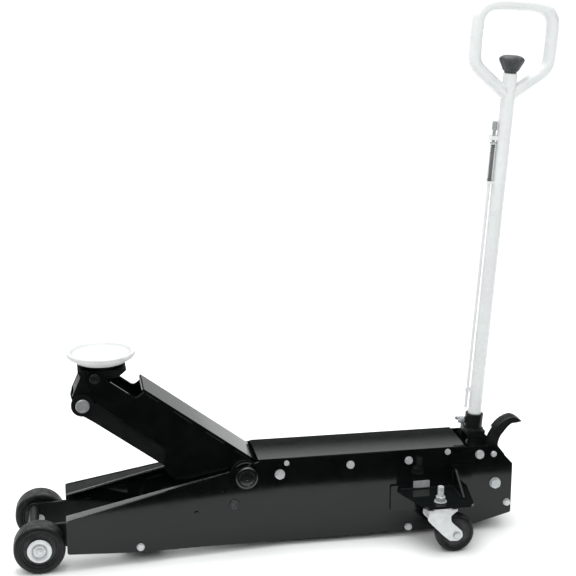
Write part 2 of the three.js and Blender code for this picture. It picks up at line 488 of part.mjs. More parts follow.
// ---------------------------------------------------------------- handle assembly, drawn upright about its pivot, then leaned back
const lean = new THREE.Matrix4().makeTranslation(HPIV[0], 0, HPIV[1])
  .multiply(new THREE.Matrix4().makeRotationY(rad(LEAN)));
const leanSolid = (m) => toGeometry(m).applyMatrix4(lean);
{
  // socket: round sleeve above two cheeks that hang on the pivot bolts, with a pump nose behind
  const cheekOutline = [[-20, 40], [-20, -2], [-14, -14], [0, -18], [14, -14], [24, 0], [30, 12], [26, 40]];
  const cheek = (s) => plateXZ(cheekOutline, s > 0 ? 24 : -34, s > 0 ? 34 : -24);
  const bridge = plateXZ([[-24, 36], [24, 36], [24, 50], [-24, 50]], -34, 34);
  const sleeve = cylZ(0, 0, 23.5, 36, 90, 24);
  const noseBar = cylY(20.6, 12.4, 7, -30, 30, 14);
  let socket = join(cheek(1), cheek(-1), bridge, sleeve, noseBar);
  socket = cut(socket, cylZ(0, 0, TUBE_R + GAP, 46, 110, 24), cylZ(0, 0, 9.5, 20, 60, 18),
    cylY(0, 0, runFit(8, 16), -50, 50, 16),
    cylX(0, 70, runFit(5, 12) + 0.05, -40, 0, 12));
  add('handle_socket', leanSolid(socket), BLACK2);
  // wing screw that clamps the tube
  const screw = join(cylX(0, 70, 5, -36, -TUBE_R - GAP, 12), cylX(0, 70, 9, -40, -26, 12), box(-48, -36, -17, 17, 65, 75));
  add('handle_clamp_screw', leanSolid(screw), STEEL);

  // handle: straight tube with the closed grip loop welded round its top end
  const zj = 928, zs = 978;                     // loop neck, end of the stub inside the loop
  const path = new THREE.CurvePath();
  const P3 = (x, z) => new THREE.Vector3(x, 0, z);
  const hw = LOOP_HALF, zb = 1004, zt = 1145, c = 50;
  const pts = [];
  const push = (x, z) => pts.push(P3(x, z));
  push(6, zj - 2); push(30, zj + 16); push(56, zj + 36);
  // right lower corner
  push(82, zj + 57); push(94, zj + 76); push(hw, zb + 24);
  push(hw, zt - c);
  push(hw - 4, zt - c * 0.55); push(hw - 20, zt - c * 0.18); push(hw - c, zt);
  push(0, zt + 1);
  push(-hw + c, zt); push(-hw + 20, zt - c * 0.18); push(-hw + 4, zt - c * 0.55); push(-hw, zt - c);
  push(-hw, zb + 24); push(-94, zj + 76); push(-82, zj + 57);
  push(-56, zj + 36); push(-30, zj + 16); push(-6, zj - 2);
  const curve = new THREE.CatmullRomCurve3(pts, false, 'catmullrom', 0.5);
  const circle = shapeOf(circlePts(0, 0, LOOP_TUBE_R, 10));
  const loop = new THREE.ExtrudeGeometry(circle, { steps: 44, bevelEnabled: false, extrudePath: curve });
  const tube = cylZ(0, 0, TUBE_R, 50.4, zs, 24);
  // brackets for the lock rod on the front side of the tube
  const lugTop = join(box(-38, -12, -8, 8, 812, 822));
  const lugLow = join(box(-33, -12, -7, 7, 700, 707));
  const lugBase = join(box(-33, -12, -7, 7, 150, 157));
  let h = join(tube, loop, lugTop, lugLow, lugBase);
  const RODX = -26;
  h = cut(h, cylZ(0, 0, 12, 40, zs + 5, 20), cylZ(RODX, 0, 4 + GAP, 100, 860, 12));
  add('handle', leanSolid(h), WHITE);
  // spring-loaded lock rod with a thumb grip, running down the front of the tube
  const rod = join(cylZ(RODX, 0, 4, 104, 854, 10), cylZ(RODX, 0, 6.5, 834, 858, 12), cylZ(RODX, 0, 8, 800, 806, 12));
  add('lock_rod', leanSolid(rod), STEEL);
  const spring = cut(cylZ(RODX, 0, 5.8, 708, 799, 12, 8), cylZ(RODX, 0, 4 + GAP, 700, 806, 12));
  add('lock_rod_spring', leanSolid(spring), SPRING);

  // release knob on a long rod inside the tube
  const knob = latheZ([
    [0, zs + 3], [18, zs + 3], [24, zs + 16], [31, zs + 30], [32, zs + 36], [20, zs + 44], [0, zs + 45],
  ], 0, 0, 0, 18);
  add('release_knob', leanSolid(cut(join(knob, cylZ(0, 0, 15, zs + 1, zs + 6, 22)), cylZ(0, 0, 5 + GAP, zs - 10, zs + 22, 12))), PLASTIC);
  add('release_rod', leanSolid(join(cylZ(0, 0, 5, 8, zs + 20, 10), cylZ(0, 0, 8, 6, 20, 14))), STEEL);
}
// release valve stem under the rod's lower joint
add('release_valve_stem', join(cylZ(HPIV[0], 0, 6, 118, 204, 12), cylZ(HPIV[0], 0, 7, 192, 208, 12)), STEEL);
for (const [name, s] of [['handle_pivot_bolt_left', 1], ['handle_pivot_bolt_right', -1]]) {
  const o = HALF_REAR + GAP;
  const c = (r, a, b, n) => cylY(HPIV[0], HPIV[1], r, Math.min(s * a, s * b), Math.max(s * a, s * b), n);
  add(name, join(c(8, 22, o + 1, 16), c(12, o, o + 8, 6)), ZINC);
}

// ---------------------------------------------------------------- pump and foot plungers with their return springs
add('pump_plunger', join(cylZ(PUMP_X, 0, 9, 104, 208, 16), cylZ(PUMP_X, 0, 11, 206, 217.6, 16)), CHROME);
add('pump_plunger_spring', cut(cylZ(PUMP_X, 0, 11.4, 156.4, 205.6, 14), cylZ(PUMP_X, 0, 9.5, 150, 210, 14)), SPRING);
add('foot_plunger', join(cylZ(FOOT_X, -48, 6, 112, 186, 12), cylZ(FOOT_X, -48, 9, 184, 190, 12)), CHROME);
add('foot_plunger_spring', cut(cylZ(FOOT_X, -48, 8.8, 156.4, 183.6, 12), cylZ(FOOT_X, -48, 6.6, 150, 190, 12)), SPRING);
{
  // curved foot lever: hangs on its pin inside the right side plate
  const outer = [[1160, 212], [1160, 236], [1164, 254], [1176, 276], [1190, 292], [1206, 303], [1222, 308], [1236, 305], [1249, 296]];
  const inner = [[1236, 293], [1220, 291], [1207, 279], [1197, 262], [1190, 246], [1188, 232], [1194, 222], [1207, 206], [1205, 192], [1193, 192], [1182, 202], [1168, 203]];
  const lever = plateXZ([...outer, ...inner].reverse(), -58, -38);
  const padOuter = [[1176, 276], [1190, 292], [1206, 303], [1222, 308], [1236, 305], [1249, 296]];
  const padInner = [[1236, 293], [1220, 291], [1207, 279], [1194, 262]];
  const pad = plateXZ([...padOuter, ...padInner].reverse(), -64, -28);
  add('foot_pedal', cut(join(lever, pad), cylY(PEDAL_PIV[0], PEDAL_PIV[1], runFit(5, 12), -80, 0, 12)), BLACK);
  add('foot_pedal_pin', join(cylY(PEDAL_PIV[0], PEDAL_PIV[1], 5, -HALF_REAR - 2, -34, 12), cylY(PEDAL_PIV[0], PEDAL_PIV[1], 8, -HALF_REAR - 5, -HALF_REAR - GAP, 12), cylY(PEDAL_PIV[0], PEDAL_PIV[1], 8, -37.6, -34, 12)), STEEL);
}

// arm return springs beside the ram
for (const [name, s] of [['return_spring_left', 1], ['return_spring_right', -1]]) {
  add(name, latheX([[7, 0], [10, 0], [10, 112], [7, 112], [7, 0]], CRANK[0] + 72.5, s * 51, 133, 12), SPRING);
}

// ---------------------------------------------------------------- origin under the middle of the box
jack.updateMatrixWorld(true);
const bounds = new THREE.Box3().setFromObject(jack);
jack.position.set(-(bounds.min.x + bounds.max.x) / 2, -(bounds.min.y + bounds.max.y) / 2, -bounds.min.z);
jack.updateMatrixWorld(true);

export default jack;
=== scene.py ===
# Hydraulic floor jack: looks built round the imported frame. Working coordinates are millimetres with X = 0 on the
# front axle; W() turns them into the row frame in metres.
import bpy, bmesh, math
from mathutils import Matrix, Vector, noise
from mathutils.geometry import tessellate_polygon


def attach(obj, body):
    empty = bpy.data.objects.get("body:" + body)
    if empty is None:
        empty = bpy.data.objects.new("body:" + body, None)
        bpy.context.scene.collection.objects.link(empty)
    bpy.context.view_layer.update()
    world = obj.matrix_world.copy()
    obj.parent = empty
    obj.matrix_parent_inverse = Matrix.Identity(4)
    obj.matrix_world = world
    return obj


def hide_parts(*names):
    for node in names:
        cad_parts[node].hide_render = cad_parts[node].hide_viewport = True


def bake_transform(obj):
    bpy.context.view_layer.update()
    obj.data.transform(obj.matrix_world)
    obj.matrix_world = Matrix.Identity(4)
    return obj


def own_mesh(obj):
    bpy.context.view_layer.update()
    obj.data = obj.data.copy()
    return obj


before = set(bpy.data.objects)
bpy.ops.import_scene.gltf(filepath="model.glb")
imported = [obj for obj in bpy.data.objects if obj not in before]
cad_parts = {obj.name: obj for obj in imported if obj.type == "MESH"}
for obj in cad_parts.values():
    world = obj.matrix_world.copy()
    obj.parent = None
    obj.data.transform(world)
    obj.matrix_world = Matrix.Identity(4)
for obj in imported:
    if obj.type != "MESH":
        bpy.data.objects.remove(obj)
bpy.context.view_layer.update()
sc = bpy.context.scene
DX = 628.686
rad = math.radians


def W(x, y, z):
    return Vector(((x - DX) / 1000.0, y / 1000.0, z / 1000.0))


# ------------------------------------------------------------------ dimensions (mm)
GAP = 0.3
HALF_REAR, HALF_FRONT, PLATE_T = 72.0, 124.0, 6.0
PLATE_X0, FLARE_X, PLATE_X1 = 67.0, 620.0, 1225.0
FW_R, FW_Y0, FW_Y1 = 63.5, 75.5, 128.0
CAST_X, CAST_Y, CAX, CW_R, CW_W, SHELF = 1001.0, 170.0, 1039.0, 50.0, 34.0, 134.0
PIV, ARM_LEN, ELEV = (518.0, 201.0), 457.8, 36.6
ROD_OFF = (-32.0, -71.0)
HPIV, LEAN = (1134.0, 215.0), 3.9
PUMP_X, FOOT_X = 1156.5, 1198.0
cu, su = math.cos(rad(ELEV)), math.sin(rad(ELEV))


def A2(u, v):
    return (PIV[0] - u * cu + v * su, PIV[1] + u * su + v * cu)


SAD_PIN = A2(ARM_LEN, 0)
LOW_PIN = (SAD_PIN[0] + ROD_OFF[0], SAD_PIN[1] + ROD_OFF[1])
ROD_PIV = (PIV[0] + ROD_OFF[0], PIV[1] + ROD_OFF[1])
CRANK = (PIV[0] - 70 * math.sin(rad(16.5)), PIV[1] - 70 * math.cos(rad(16.5)))


def table(rows):
    def f(x):
        for (x0, y0), (x1, y1) in zip(rows, rows[1:]):
            if x <= x1:
                t = max(0.0, (x - x0) / (x1 - x0))
                return y0 + t * (y1 - y0)
        return rows[-1][1]
    return f


half_out = table([(PLATE_X0, HALF_FRONT), (FLARE_X, HALF_REAR), (PLATE_X1, HALF_REAR)])
z_bot = table([(67, 46), (240, 30), (400, 25), (530, 19), (650, 15), (1015, 16), (1131, 22), (1225, 47)])
z_top = table([(67, 131), (323, 186), (467, 213), (552, 237), (1176, 237), (1225, 184)])
flange_w = table([(67, 54), (323, 24), (476, 14)])
# handle frame: drawn upright about the pivot, then leaned back
LEAN_M = Matrix.Translation((HPIV[0], 0, HPIV[1])) @ Matrix.Rotation(rad(LEAN), 4, "Y")


# ------------------------------------------------------------------ procedural materials
def node(nt, kind, **kw):
    n = nt.nodes.new(kind)
    for k, v in kw.items():
        if k in n.inputs:
            n.inputs[k].default_value = v
        else:
            setattr(n, k, v)
    return n


def mat(name, c0, c1, scale=40.0, rough=(0.3, 0.4), rscale=60.0, metal=0.0, bump=0.1, bscale=900.0, bdist=0.0002,
        coat=0.0, coat_rough=0.1, stretch=(1, 1, 1), detail=4.0, wear=None, wear_pos=(0.52, 0.60), dust=None, spec=0.5, speck=None, painted_floor_reflection=None):
    """Colour patches, roughness patches and a fine surface bump, all in object space."""
    m = bpy.data.materials.new(name)
    m.use_nodes = True
    nt = m.node_tree
    nt.nodes.clear()
    out = node(nt, "ShaderNodeOutputMaterial")
    b = node(nt, "ShaderNodeBsdfPrincipled")
    nt.links.new(b.outputs[0], out.inputs[0])
    b.inputs["Metallic"].default_value = metal
    b.inputs["Coat Weight"].default_value = coat
    b.inputs["Coat Roughness"].default_value = coat_rough
    b.inputs["Specular IOR Level"].default_value = spec
    tc = node(nt, "ShaderNodeTexCoord")
    mp = node(nt, "ShaderNodeMapping")
    mp.inputs["Scale"].default_value = stretch
    nt.links.new(tc.outputs["Object"], mp.inputs["Vector"])
    # colour
    n1 = node(nt, "ShaderNodeTexNoise", Scale=scale, Detail=detail, Roughness=0.6)
    nt.links.new(mp.outputs[0], n1.inputs["Vector"])
    r1 = node(nt, "ShaderNodeValToRGB")
    r1.color_ramp.elements[0].position, r1.color_ramp.elements[1].position = 0.35, 0.68
    r1.color_ramp.elements[0].color = (*c0, 1)
    r1.color_ramp.elements[1].color = (*c1, 1)
    nt.links.new(n1.outputs["Fac"], r1.inputs[0])
    col = r1.outputs[0]

    def mixed(col, fac, colour):
        mx = node(nt, "ShaderNodeMix", data_type="RGBA")
        nt.links.new(fac, mx.inputs[0])
        nt.links.new(col, mx.inputs[6])
        mx.inputs[7].default_value = (*colour, 1)
        return mx.outputs[2]

    def ramp(src, lo, hi, v0=0.0, v1=1.0):
        r = node(nt, "ShaderNodeMapRange")
        r.inputs["From Min"].default_value, r.inputs["From Max"].default_value = lo, hi
        r.inputs["To Min"].default_value, r.inputs["To Max"].default_value = v0, v1
        nt.links.new(src, r.inputs["Value"])
        return r.outputs[0]

    def mul(a, c):
        k = node(nt, "ShaderNodeMath", operation="MULTIPLY")
        nt.links.new(a, k.inputs[0])
        nt.links.new(c, k.inputs[1])
        return k.outputs[0]

    geo = node(nt, "ShaderNodeNewGeometry")
    if speck:  # small scattered marks
        n4 = node(nt, "ShaderNodeTexNoise", Scale=speck[1], Detail=2.0)
        nt.links.new(tc.outputs["Object"], n4.inputs["Vector"])
        col = mixed(col, ramp(n4.outputs["Fac"], speck[2], speck[2] + 0.05, 0, speck[3]), speck[0])
    if dust:  # settles on faces that look up
        sp = node(nt, "ShaderNodeSeparateXYZ")
        nt.links.new(geo.outputs["Normal"], sp.inputs[0])
        n5 = node(nt, "ShaderNodeTexNoise", Scale=55.0, Detail=6.0)
        nt.links.new(tc.outputs["Object"], n5.inputs["Vector"])
        col = mixed(col, mul(ramp(sp.outputs["Z"], 0.4, 1.0, 0, dust[1]), ramp(n5.outputs["Fac"], 0.4, 0.7)), dust[0])
    if painted_floor_reflection:  # painted reflection of the floor: a lighter film low on the flanks, with a wavy upper edge
        so = node(nt, "ShaderNodeSeparateXYZ")
        nt.links.new(tc.outputs["Object"], so.inputs[0])
        n7 = node(nt, "ShaderNodeTexNoise", Scale=3.2, Detail=3.0)
        nt.links.new(tc.outputs["Object"], n7.inputs["Vector"])
        ad = node(nt, "ShaderNodeMath", operation="MULTIPLY_ADD")
        nt.links.new(n7.outputs["Fac"], ad.inputs[0])
        ad.inputs[1].default_value = -0.10
        nt.links.new(so.outputs["Z"], ad.inputs[2])
        mz = (painted_floor_reflection[2] / 1000.0) - 0.05
        col = mixed(col, ramp(ad.outputs[0], mz - 0.035, mz + 0.012, 1.0, 0.0), painted_floor_reflection[0])
    wearf = None
    if wear:
        n6 = node(nt, "ShaderNodeTexNoise", Scale=130.0, Detail=6.0)
        nt.links.new(tc.outputs["Object"], n6.inputs["Vector"])
        wearf = mul(ramp(geo.outputs["Pointiness"], wear_pos[0], wear_pos[1]), ramp(n6.outputs["Fac"], 0.42, 0.62))
        col = mixed(col, wearf, wear)
    nt.links.new(col, b.inputs["Base Color"])
    n2 = node(nt, "ShaderNodeTexNoise", Scale=rscale, Detail=5.0, Roughness=0.65)
    nt.links.new(mp.outputs[0], n2.inputs["Vector"])
    nt.links.new(ramp(n2.outputs["Fac"], 0.3, 0.7, rough[0], rough[1]), b.inputs["Roughness"])
    n3 = node(nt, "ShaderNodeTexNoise", Scale=bscale, Detail=3.0)
    nt.links.new(mp.outputs[0], n3.inputs["Vector"])
    bp = node(nt, "ShaderNodeBump", Strength=bump, Distance=bdist)
    nt.links.new(n3.outputs["Fac"], bp.inputs["Height"])
    nt.links.new(bp.outputs[0], b.inputs["Normal"])
    return m


M = {}
# gloss black paint; the lighter band low on its flanks is a painted reflection of the floor
M["black"] = mat("gloss_black_paint", (0.0018, 0.0023, 0.0023), (0.0034, 0.0042, 0.0041), 22, (0.06, 0.12), 35, bump=0.06, bscale=420, bdist=0.0004,
                 spec=0.32, painted_floor_reflection=((0.0050, 0.0066, 0.0064), 26.0, 165.0), dust=((0.05, 0.052, 0.052), 0.10))
M["black2"] = mat("frame_black_paint", (0.0042, 0.0049, 0.0050), (0.0080, 0.0092, 0.0092), 30, (0.28, 0.42), 45, bump=0.18, bscale=520, bdist=0.0003, spec=0.24,
                  dust=((0.06, 0.06, 0.058), 0.14))
M["matt"] = mat("satin_black_paint", (0.0034, 0.0040, 0.0041), (0.0064, 0.0074, 0.0074), 30, (0.34, 0.50), 45, bump=0.15, bscale=520, bdist=0.0003, spec=0.12,
                dust=((0.05, 0.05, 0.048), 0.10))
# lighter copy of the black paint for the flanges: its lighter colour, with the strong pale dust on its top faces, is a
# painted highlight
M["flange"] = mat("flange_black_painted_highlight", (0.030, 0.034, 0.034), (0.042, 0.047, 0.047), 40, (0.22, 0.34), 60, metal=0.0, bump=0.08, bscale=520, bdist=0.0003, spec=0.85, coat=0.35, coat_rough=0.15,
                  dust=((0.13, 0.135, 0.132), 0.35))
M["collar"] = mat("collar_black", (0.004, 0.0045, 0.0048), (0.009, 0.010, 0.0105), 60, (0.14, 0.26), 90, metal=0.3, bump=0.12, bscale=700, bdist=0.0002, spec=0.6, coat=0.3, coat_rough=0.1)
M["zinc"] = mat("zinc_plate", (0.46, 0.48, 0.49), (0.62, 0.64, 0.64), 90, (0.26, 0.46), 160, metal=0.55, bump=0.12, bscale=1500, bdist=0.0001,
                speck=((0.38, 0.38, 0.36), 420, 0.66, 0.6))
M["zinc_light"] = mat("zinc_plate_bright", (0.58, 0.60, 0.61), (0.70, 0.715, 0.715), 60, (0.34, 0.50), 120, metal=0.4, bump=0.10, bscale=1300, bdist=0.0001)
M["steel"] = mat("turned_steel", (0.26, 0.27, 0.28), (0.42, 0.43, 0.44), 160, (0.30, 0.44), 240, metal=0.55, bump=0.16, bscale=1300, bdist=0.0001,
                 speck=((0.12, 0.11, 0.10), 500, 0.64, 0.6))
M["steel_dark"] = mat("oiled_steel", (0.030, 0.031, 0.033), (0.085, 0.087, 0.090), 140, (0.26, 0.42), 240, metal=0.9, bump=0.16, bscale=1300, bdist=0.0001,
                      speck=((0.02, 0.018, 0.016), 500, 0.64, 0.6))
M["chrome"] = mat("ground_rod", (0.66, 0.67, 0.68), (0.78, 0.79, 0.80), 80, (0.07, 0.16), 300, metal=1.0, bump=0.05, bscale=2600, bdist=0.0001)
M["spring"] = mat("spring_wire", (0.05, 0.051, 0.053), (0.12, 0.122, 0.125), 260, (0.28, 0.45), 300, metal=0.9, bump=0.15, bscale=1700, bdist=0.0001)
M["white"] = mat("handle_white_paint", (0.64, 0.655, 0.655), (0.69, 0.705, 0.70), 9, (0.20, 0.34), 30, bump=0.12, bscale=460, bdist=0.0003,
                 coat=0.4, coat_rough=0.12, speck=((0.52, 0.53, 0.52), 240, 0.70, 0.25))
M["saddle"] = mat("saddle_light_paint", (0.50, 0.515, 0.51), (0.60, 0.61, 0.60), 26, (0.34, 0.55), 70, bump=0.25, bscale=520, bdist=0.0003,
                  speck=((0.42, 0.42, 0.40), 150, 0.64, 0.55))
M["rubber"] = mat("wheel_rubber", (0.0036, 0.0041, 0.0041), (0.0076, 0.0083, 0.0083), 45, (0.36, 0.55), 70, bump=0.30, bscale=700, bdist=0.0003, spec=0.26,
                  dust=((0.085, 0.086, 0.082), 0.55), speck=((0.03, 0.03, 0.028), 190, 0.64, 0.6))
M["hub"] = mat("cast_hub", (0.016, 0.017, 0.018), (0.040, 0.042, 0.043), 70, (0.42, 0.62), 90, metal=0.35, bump=0.55, bscale=650, bdist=0.0004)
M["cyl"] = mat("cylinder_enamel", (0.012, 0.013, 0.014), (0.022, 0.024, 0.025), 30, (0.24, 0.38), 50, bump=0.25, bscale=480, bdist=0.0003)
M["cast"] = mat("cast_block", (0.020, 0.021, 0.022), (0.040, 0.042, 0.043), 60, (0.45, 0.65), 80, metal=0.3, bump=0.6, bscale=560, bdist=0.0004)
M["plastic"] = mat("knob_plastic", (0.028, 0.030, 0.031), (0.055, 0.058, 0.060), 80, (0.38, 0.52), 120, bump=0.30, bscale=1100, bdist=0.0002)
M["weld"] = mat("painted_weld", (0.006, 0.007, 0.0072), (0.012, 0.0135, 0.0138), 120, (0.40, 0.55), 160, bump=0.45, bscale=900, bdist=0.0003, spec=0.15)
M["weldw"] = mat("painted_weld_white", (0.58, 0.59, 0.59), (0.68, 0.69, 0.685), 120, (0.26, 0.40), 160, bump=0.45, bscale=900, bdist=0.0003)
# dark colour for recesses, a painted shade; the handle lists it among its slots but no face uses it
M["recess_shade"] = mat("dark_recess", (0.008, 0.008, 0.008), (0.018, 0.017, 0.016), 90, (0.5, 0.7), 90, bump=0.4, bscale=700)
M["plate"] = mat("blank_plate", (0.52, 0.53, 0.53), (0.66, 0.67, 0.67), 50, (0.3, 0.45), 90, metal=0.5, bump=0.10, bscale=1200)


# ------------------------------------------------------------------ mesh builder
class Geo:
    def __init__(self, *mats):
        self.bm = bmesh.new()
        self.mats = list(mats)
        self.mi = 0
        self.M = Matrix.Identity(4)

    def use(self, key):
        if key not in self.mats:
            self.mats.append(key)
        self.mi = self.mats.index(key)
        return self

    def v(self, x, y, z):
        p = self.M @ Vector((x, y, z))
        return self.bm.verts.new(W(p.x, p.y, p.z))

    def f(self, vs):
        try:
            fc = self.bm.faces.new(vs)
        except ValueError:
            return None
        fc.material_index = self.mi
        fc.smooth = True
        return fc

    def loops(self, rings, closed_ring=True, cap0=True, cap1=True, wrap=False):
        """rings: lists of vertices, each ring joined to the next"""
        n = len(rings[0])
        pairs = list(zip(rings, rings[1:])) + ([(rings[-1], rings[0])] if wrap else [])
        for a, b in pairs:
            for i in range(n if closed_ring else n - 1):
                j = (i + 1) % n
                self.f([a[i], a[j], b[j], b[i]])
        if cap0 and not wrap:
            self.f(list(reversed(rings[0])))
        if cap1 and not wrap:
            self.f(rings[-1])

    def prism(self, pts, lo, hi, axis="y", holes=()):
        """outline extruded along an axis; outline pairs are (x, z) for y, (x, y) for z and (y, z) for x"""
        place = {"y": lambda p, t: (p[0], t, p[1]), "z": lambda p, t: (p[0], p[1], t), "x": lambda p, t: (t, p[0], p[1])}[axis]
        rings = [list(pts)] + [list(h) for h in holes]
        flat = [p for r in rings for p in r]
        bot = [self.v(*place(p, lo)) for p in flat]
        top = [self.v(*place(p, hi)) for p in flat]
        k = 0
        for r in rings:
            n = len(r)
            for i in range(n):
                a, b = k + i, k + (i + 1) % n
                self.f([bot[a], bot[b], top[b], top[a]])
            k += n
        if holes:
            tris = tessellate_polygon([[Vector((p[0], p[1], 0)) for p in r] for r in rings])
            for t in tris:
                self.f([bot[i] for i in t])
                self.f([top[i] for i in t])
        else:
            self.f(bot)
            self.f(top)
        return self

    def lathe(self, prof, at, axis="z", n=56, dirn=1, flute=None):
        """profile of (radius, height) turned about an axis through at"""
        def place(r, h, a):
            c, s = math.cos(a), math.sin(a)
            h *= dirn
            if axis == "z":
                return (at[0] + r * c, at[1] + r * s, at[2] + h)
            if axis == "y":
                return (at[0] + r * c, at[1] + h, at[2] + r * s)
            return (at[0] + h, at[1] + r * c, at[2] + r * s)
        closed = abs(prof[0][0] - prof[-1][0]) < 1e-9 and abs(prof[0][1] - prof[-1][1]) < 1e-9
        rows = []
        for r, h in (prof[:-1] if closed else prof):
            if r < 1e-6:
                rows.append([self.v(*place(0, h, 0))])
            else:
                rows.append([self.v(*place(r * (flute(2 * math.pi * i / n, h) if flute else 1), h, 2 * math.pi * i / n)) for i in range(n)])
        pairs = list(zip(rows, rows[1:])) + ([(rows[-1], rows[0])] if closed else [])
        for a, b in pairs:
            for i in range(n):
                j = (i + 1) % n
                if len(a) == 1 and len(b) == 1:
                    continue
                if len(a) == 1:
                    self.f([a[0], b[j], b[i]])
                elif len(b) == 1:
                    self.f([a[i], a[j], b[0]])
                else:
                    self.f([a[i], a[j], b[j], b[i]])
        return self

    def hexa(self, r, h0, h1, at, axis="z", dirn=1, rot=0.0, ch=0.14, n=6):
        """hexagon head with a chamfered outer face; r is across the corners"""
        def place(rr, h, a):
            c, s = math.cos(a), math.sin(a)
            h *= dirn
            if axis == "z":
                return (at[0] + rr * c, at[1] + rr * s, at[2] + h)
            if axis == "y":
                return (at[0] + rr * c, at[1] + h, at[2] + rr * s)
            return (at[0] + h, at[1] + rr * c, at[2] + rr * s)
        m = 8  # steps per flat, so that the chamfer is round where it meets the flats
        def ring(lim, h):
            vs = []
            for k in range(n):
                a0, a1 = rot + 2 * math.pi * k / n, rot + 2 * math.pi * (k + 1) / n
                for i in range(m):
                    t = i / m
                    x = (1 - t) * math.cos(a0) + t * math.cos(a1)
                    y = (1 - t) * math.sin(a0) + t * math.sin(a1)
                    d, a = math.hypot(x, y) * r, math.atan2(y, x)
                    vs.append(self.v(*place(min(d, lim(d)), h, a)))
            return vs
        c = r * ch
        rings = [ring(lambda d: d, h0)]
        vs_top = []
        # side height falls towards the corners
        def ring_side():
            vs = []
            for k in range(n):
                a0, a1 = rot + 2 * math.pi * k / n, rot + 2 * math.pi * (k + 1) / n
                for i in range(m):
                    t = i / m
                    x = (1 - t) * math.cos(a0) + t * math.cos(a1)
                    y = (1 - t) * math.sin(a0) + t * math.sin(a1)
                    q = math.hypot(x, y)
                    d, a = q * r, math.atan2(y, x)
                    drop = c * 0.75 * max(0.0, (q - math.cos(math.pi / n)) / (1 - math.cos(math.pi / n)))
                    vs.append(self.v(*place(d, h1 - 0.12 * c - drop, a)))
            return vs
        rings.append(ring_side())
        rings.append(ring(lambda d: r * math.cos(math.pi / n) * 0.97, h1))
        self.loops(rings)
        return self

    def tube(self, path, r, n=20, closed=False, cap=True, radii=None):
        P = [Vector(p) for p in path]
        T = []
        for i in range(len(P)):
            if closed:
                d = P[(i + 1) % len(P)] - P[i - 1]
            else:
                d = P[min(i + 1, len(P) - 1)] - P[max(i - 1, 0)]
            T.append(d.normalized())
        up = Vector((0, 1, 0)) if abs(T[0].y) < 0.9 else Vector((1, 0, 0))
        u = (up - T[0] * up.dot(T[0])).normalized()
        rings = []
        for i, (p, t) in enumerate(zip(P, T)):
            u = (u - t * u.dot(t)).normalized()
            w = t.cross(u)
            rr = radii[i] if radii else r
            rings.append([self.v(*(p + (u * math.cos(a) + w * math.sin(a)) * rr)) for a in [2 * math.pi * k / n for k in range(n)]])
        self.loops(rings, cap0=cap, cap1=cap, wrap=closed)
        return self

    def helix(self, at, axis, r, wire, length, turns, n=12, end=0.75, per=22):
        """compression coil with closed ends; at is the middle of its start face"""
        ax = Vector(axis).normalized()
        u = (Vector((0, 1, 0)) if abs(ax.y) < 0.9 else Vector((1, 0, 0)))
        u = (u - ax * u.dot(ax)).normalized()
        w = ax.cross(u)
        tot, pts = turns, []
        pitch_end = 2 * wire * 1.02
        free = length - 2 * wire - 2 * end * pitch_end
        mid = tot - 2 * end
        steps = int(tot * per)
        for i in range(steps + 1):
            t = tot * i / steps
            if t < end:
                h = wire + t * pitch_end
            elif t > tot - end:
                h = length - wire - (tot - t) * pitch_end
            else:
                h = wire + end * pitch_end + (t - end) / mid * free
            a = 2 * math.pi * t
            pts.append(Vector(at) + ax * h + (u * math.cos(a) + w * math.sin(a)) * r)
        return self.tube(pts, wire, n)

    def bead(self, path, r, seed=0, step=1.6, n=8):
        """weld bead: rippled, slightly uneven"""
        P = [Vector(p) for p in path]
        out, rr = [], []
        k = 0
        for a, b in zip(P, P[1:]):
            m = max(1, int((b - a).length / step))
            for i in range(m):
                out.append(a.lerp(b, i / m))
        out.append(P[-1])
        for i, p in enumerate(out):
            w = noise.noise(Vector((i * 0.31, seed * 7.3, 0.5)))
            e = min(1.0, (min(i, len(out) - 1 - i) + 0.6) / 2.2)
            rr.append(r * e * (1 + 0.10 * math.sin(i * 2.1 + seed) + 0.14 * w))
        return self.tube(out, r, n, radii=rr)

    def done(self, name, body, slot, replaces=(), bevel=0.0, seg=2, angle=35, sub=0):
        bm = self.bm
        bmesh.ops.recalc_face_normals(bm, faces=bm.faces)
        for e in bm.edges:
            if len(e.link_faces) == 2 and e.calc_face_angle(0.0) > rad(angle):
                e.smooth = False
        me = bpy.data.meshes.new(name)
        bm.to_mesh(me)
        bm.free()
        for k in self.mats:
            me.materials.append(M[k])
        o = bpy.data.objects.new(name, me)
        sc.collection.objects.link(o)
        if bevel:
            b = o.modifiers.new("edge", "BEVEL")
            b.width = bevel / 1000.0
            b.segments = seg
            b.limit_method = "ANGLE"
            b.angle_limit = rad(angle)
            b.harden_normals = True
            b.use_clamp_overlap = True
        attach(o, body)
        if replaces:
            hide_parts(*replaces)
        return o


def circ(cx, cy, r, n=32, a0=0.0):
    return [(cx + r * math.cos(a0 + 2 * math.pi * i / n), cy + r * math.sin(a0 + 2 * math.pi * i / n)) for i in range(n)]


def rnd(pts, r, n=4):
    """outline with rounded corners; r is a number or one per corner"""
    out = []
    N = len(pts)
    for i in range(N):
        p, a, b = Vector(pts[i]), Vector(pts[i - 1]), Vector(pts[(i + 1) % N])
        R = r[i] if isinstance(r, (list, tuple)) else r
        da, db = (a - p), (b - p)
        la, lb = da.length, db.length
        if R <= 0 or la < 1e-6 or lb < 1e-6:
            out.append(tuple(p))
            continue
        cosang = max(-1, min(1, da.dot(db) / (la * lb)))
        ang = math.acos(cosang)
        if ang > rad(172):
            out.append(tuple(p))
            continue
        t = min(R / math.tan(ang / 2), 0.46 * la, 0.46 * lb)
        p0, p1 = p + da / la * t, p + db / lb * t
        for k in range(n + 1):
            s = k / n
            q = p0 * (1 - s) ** 2 + p * 2 * s * (1 - s) + p1 * s * s
            out.append((q.x, q.y))
    return out


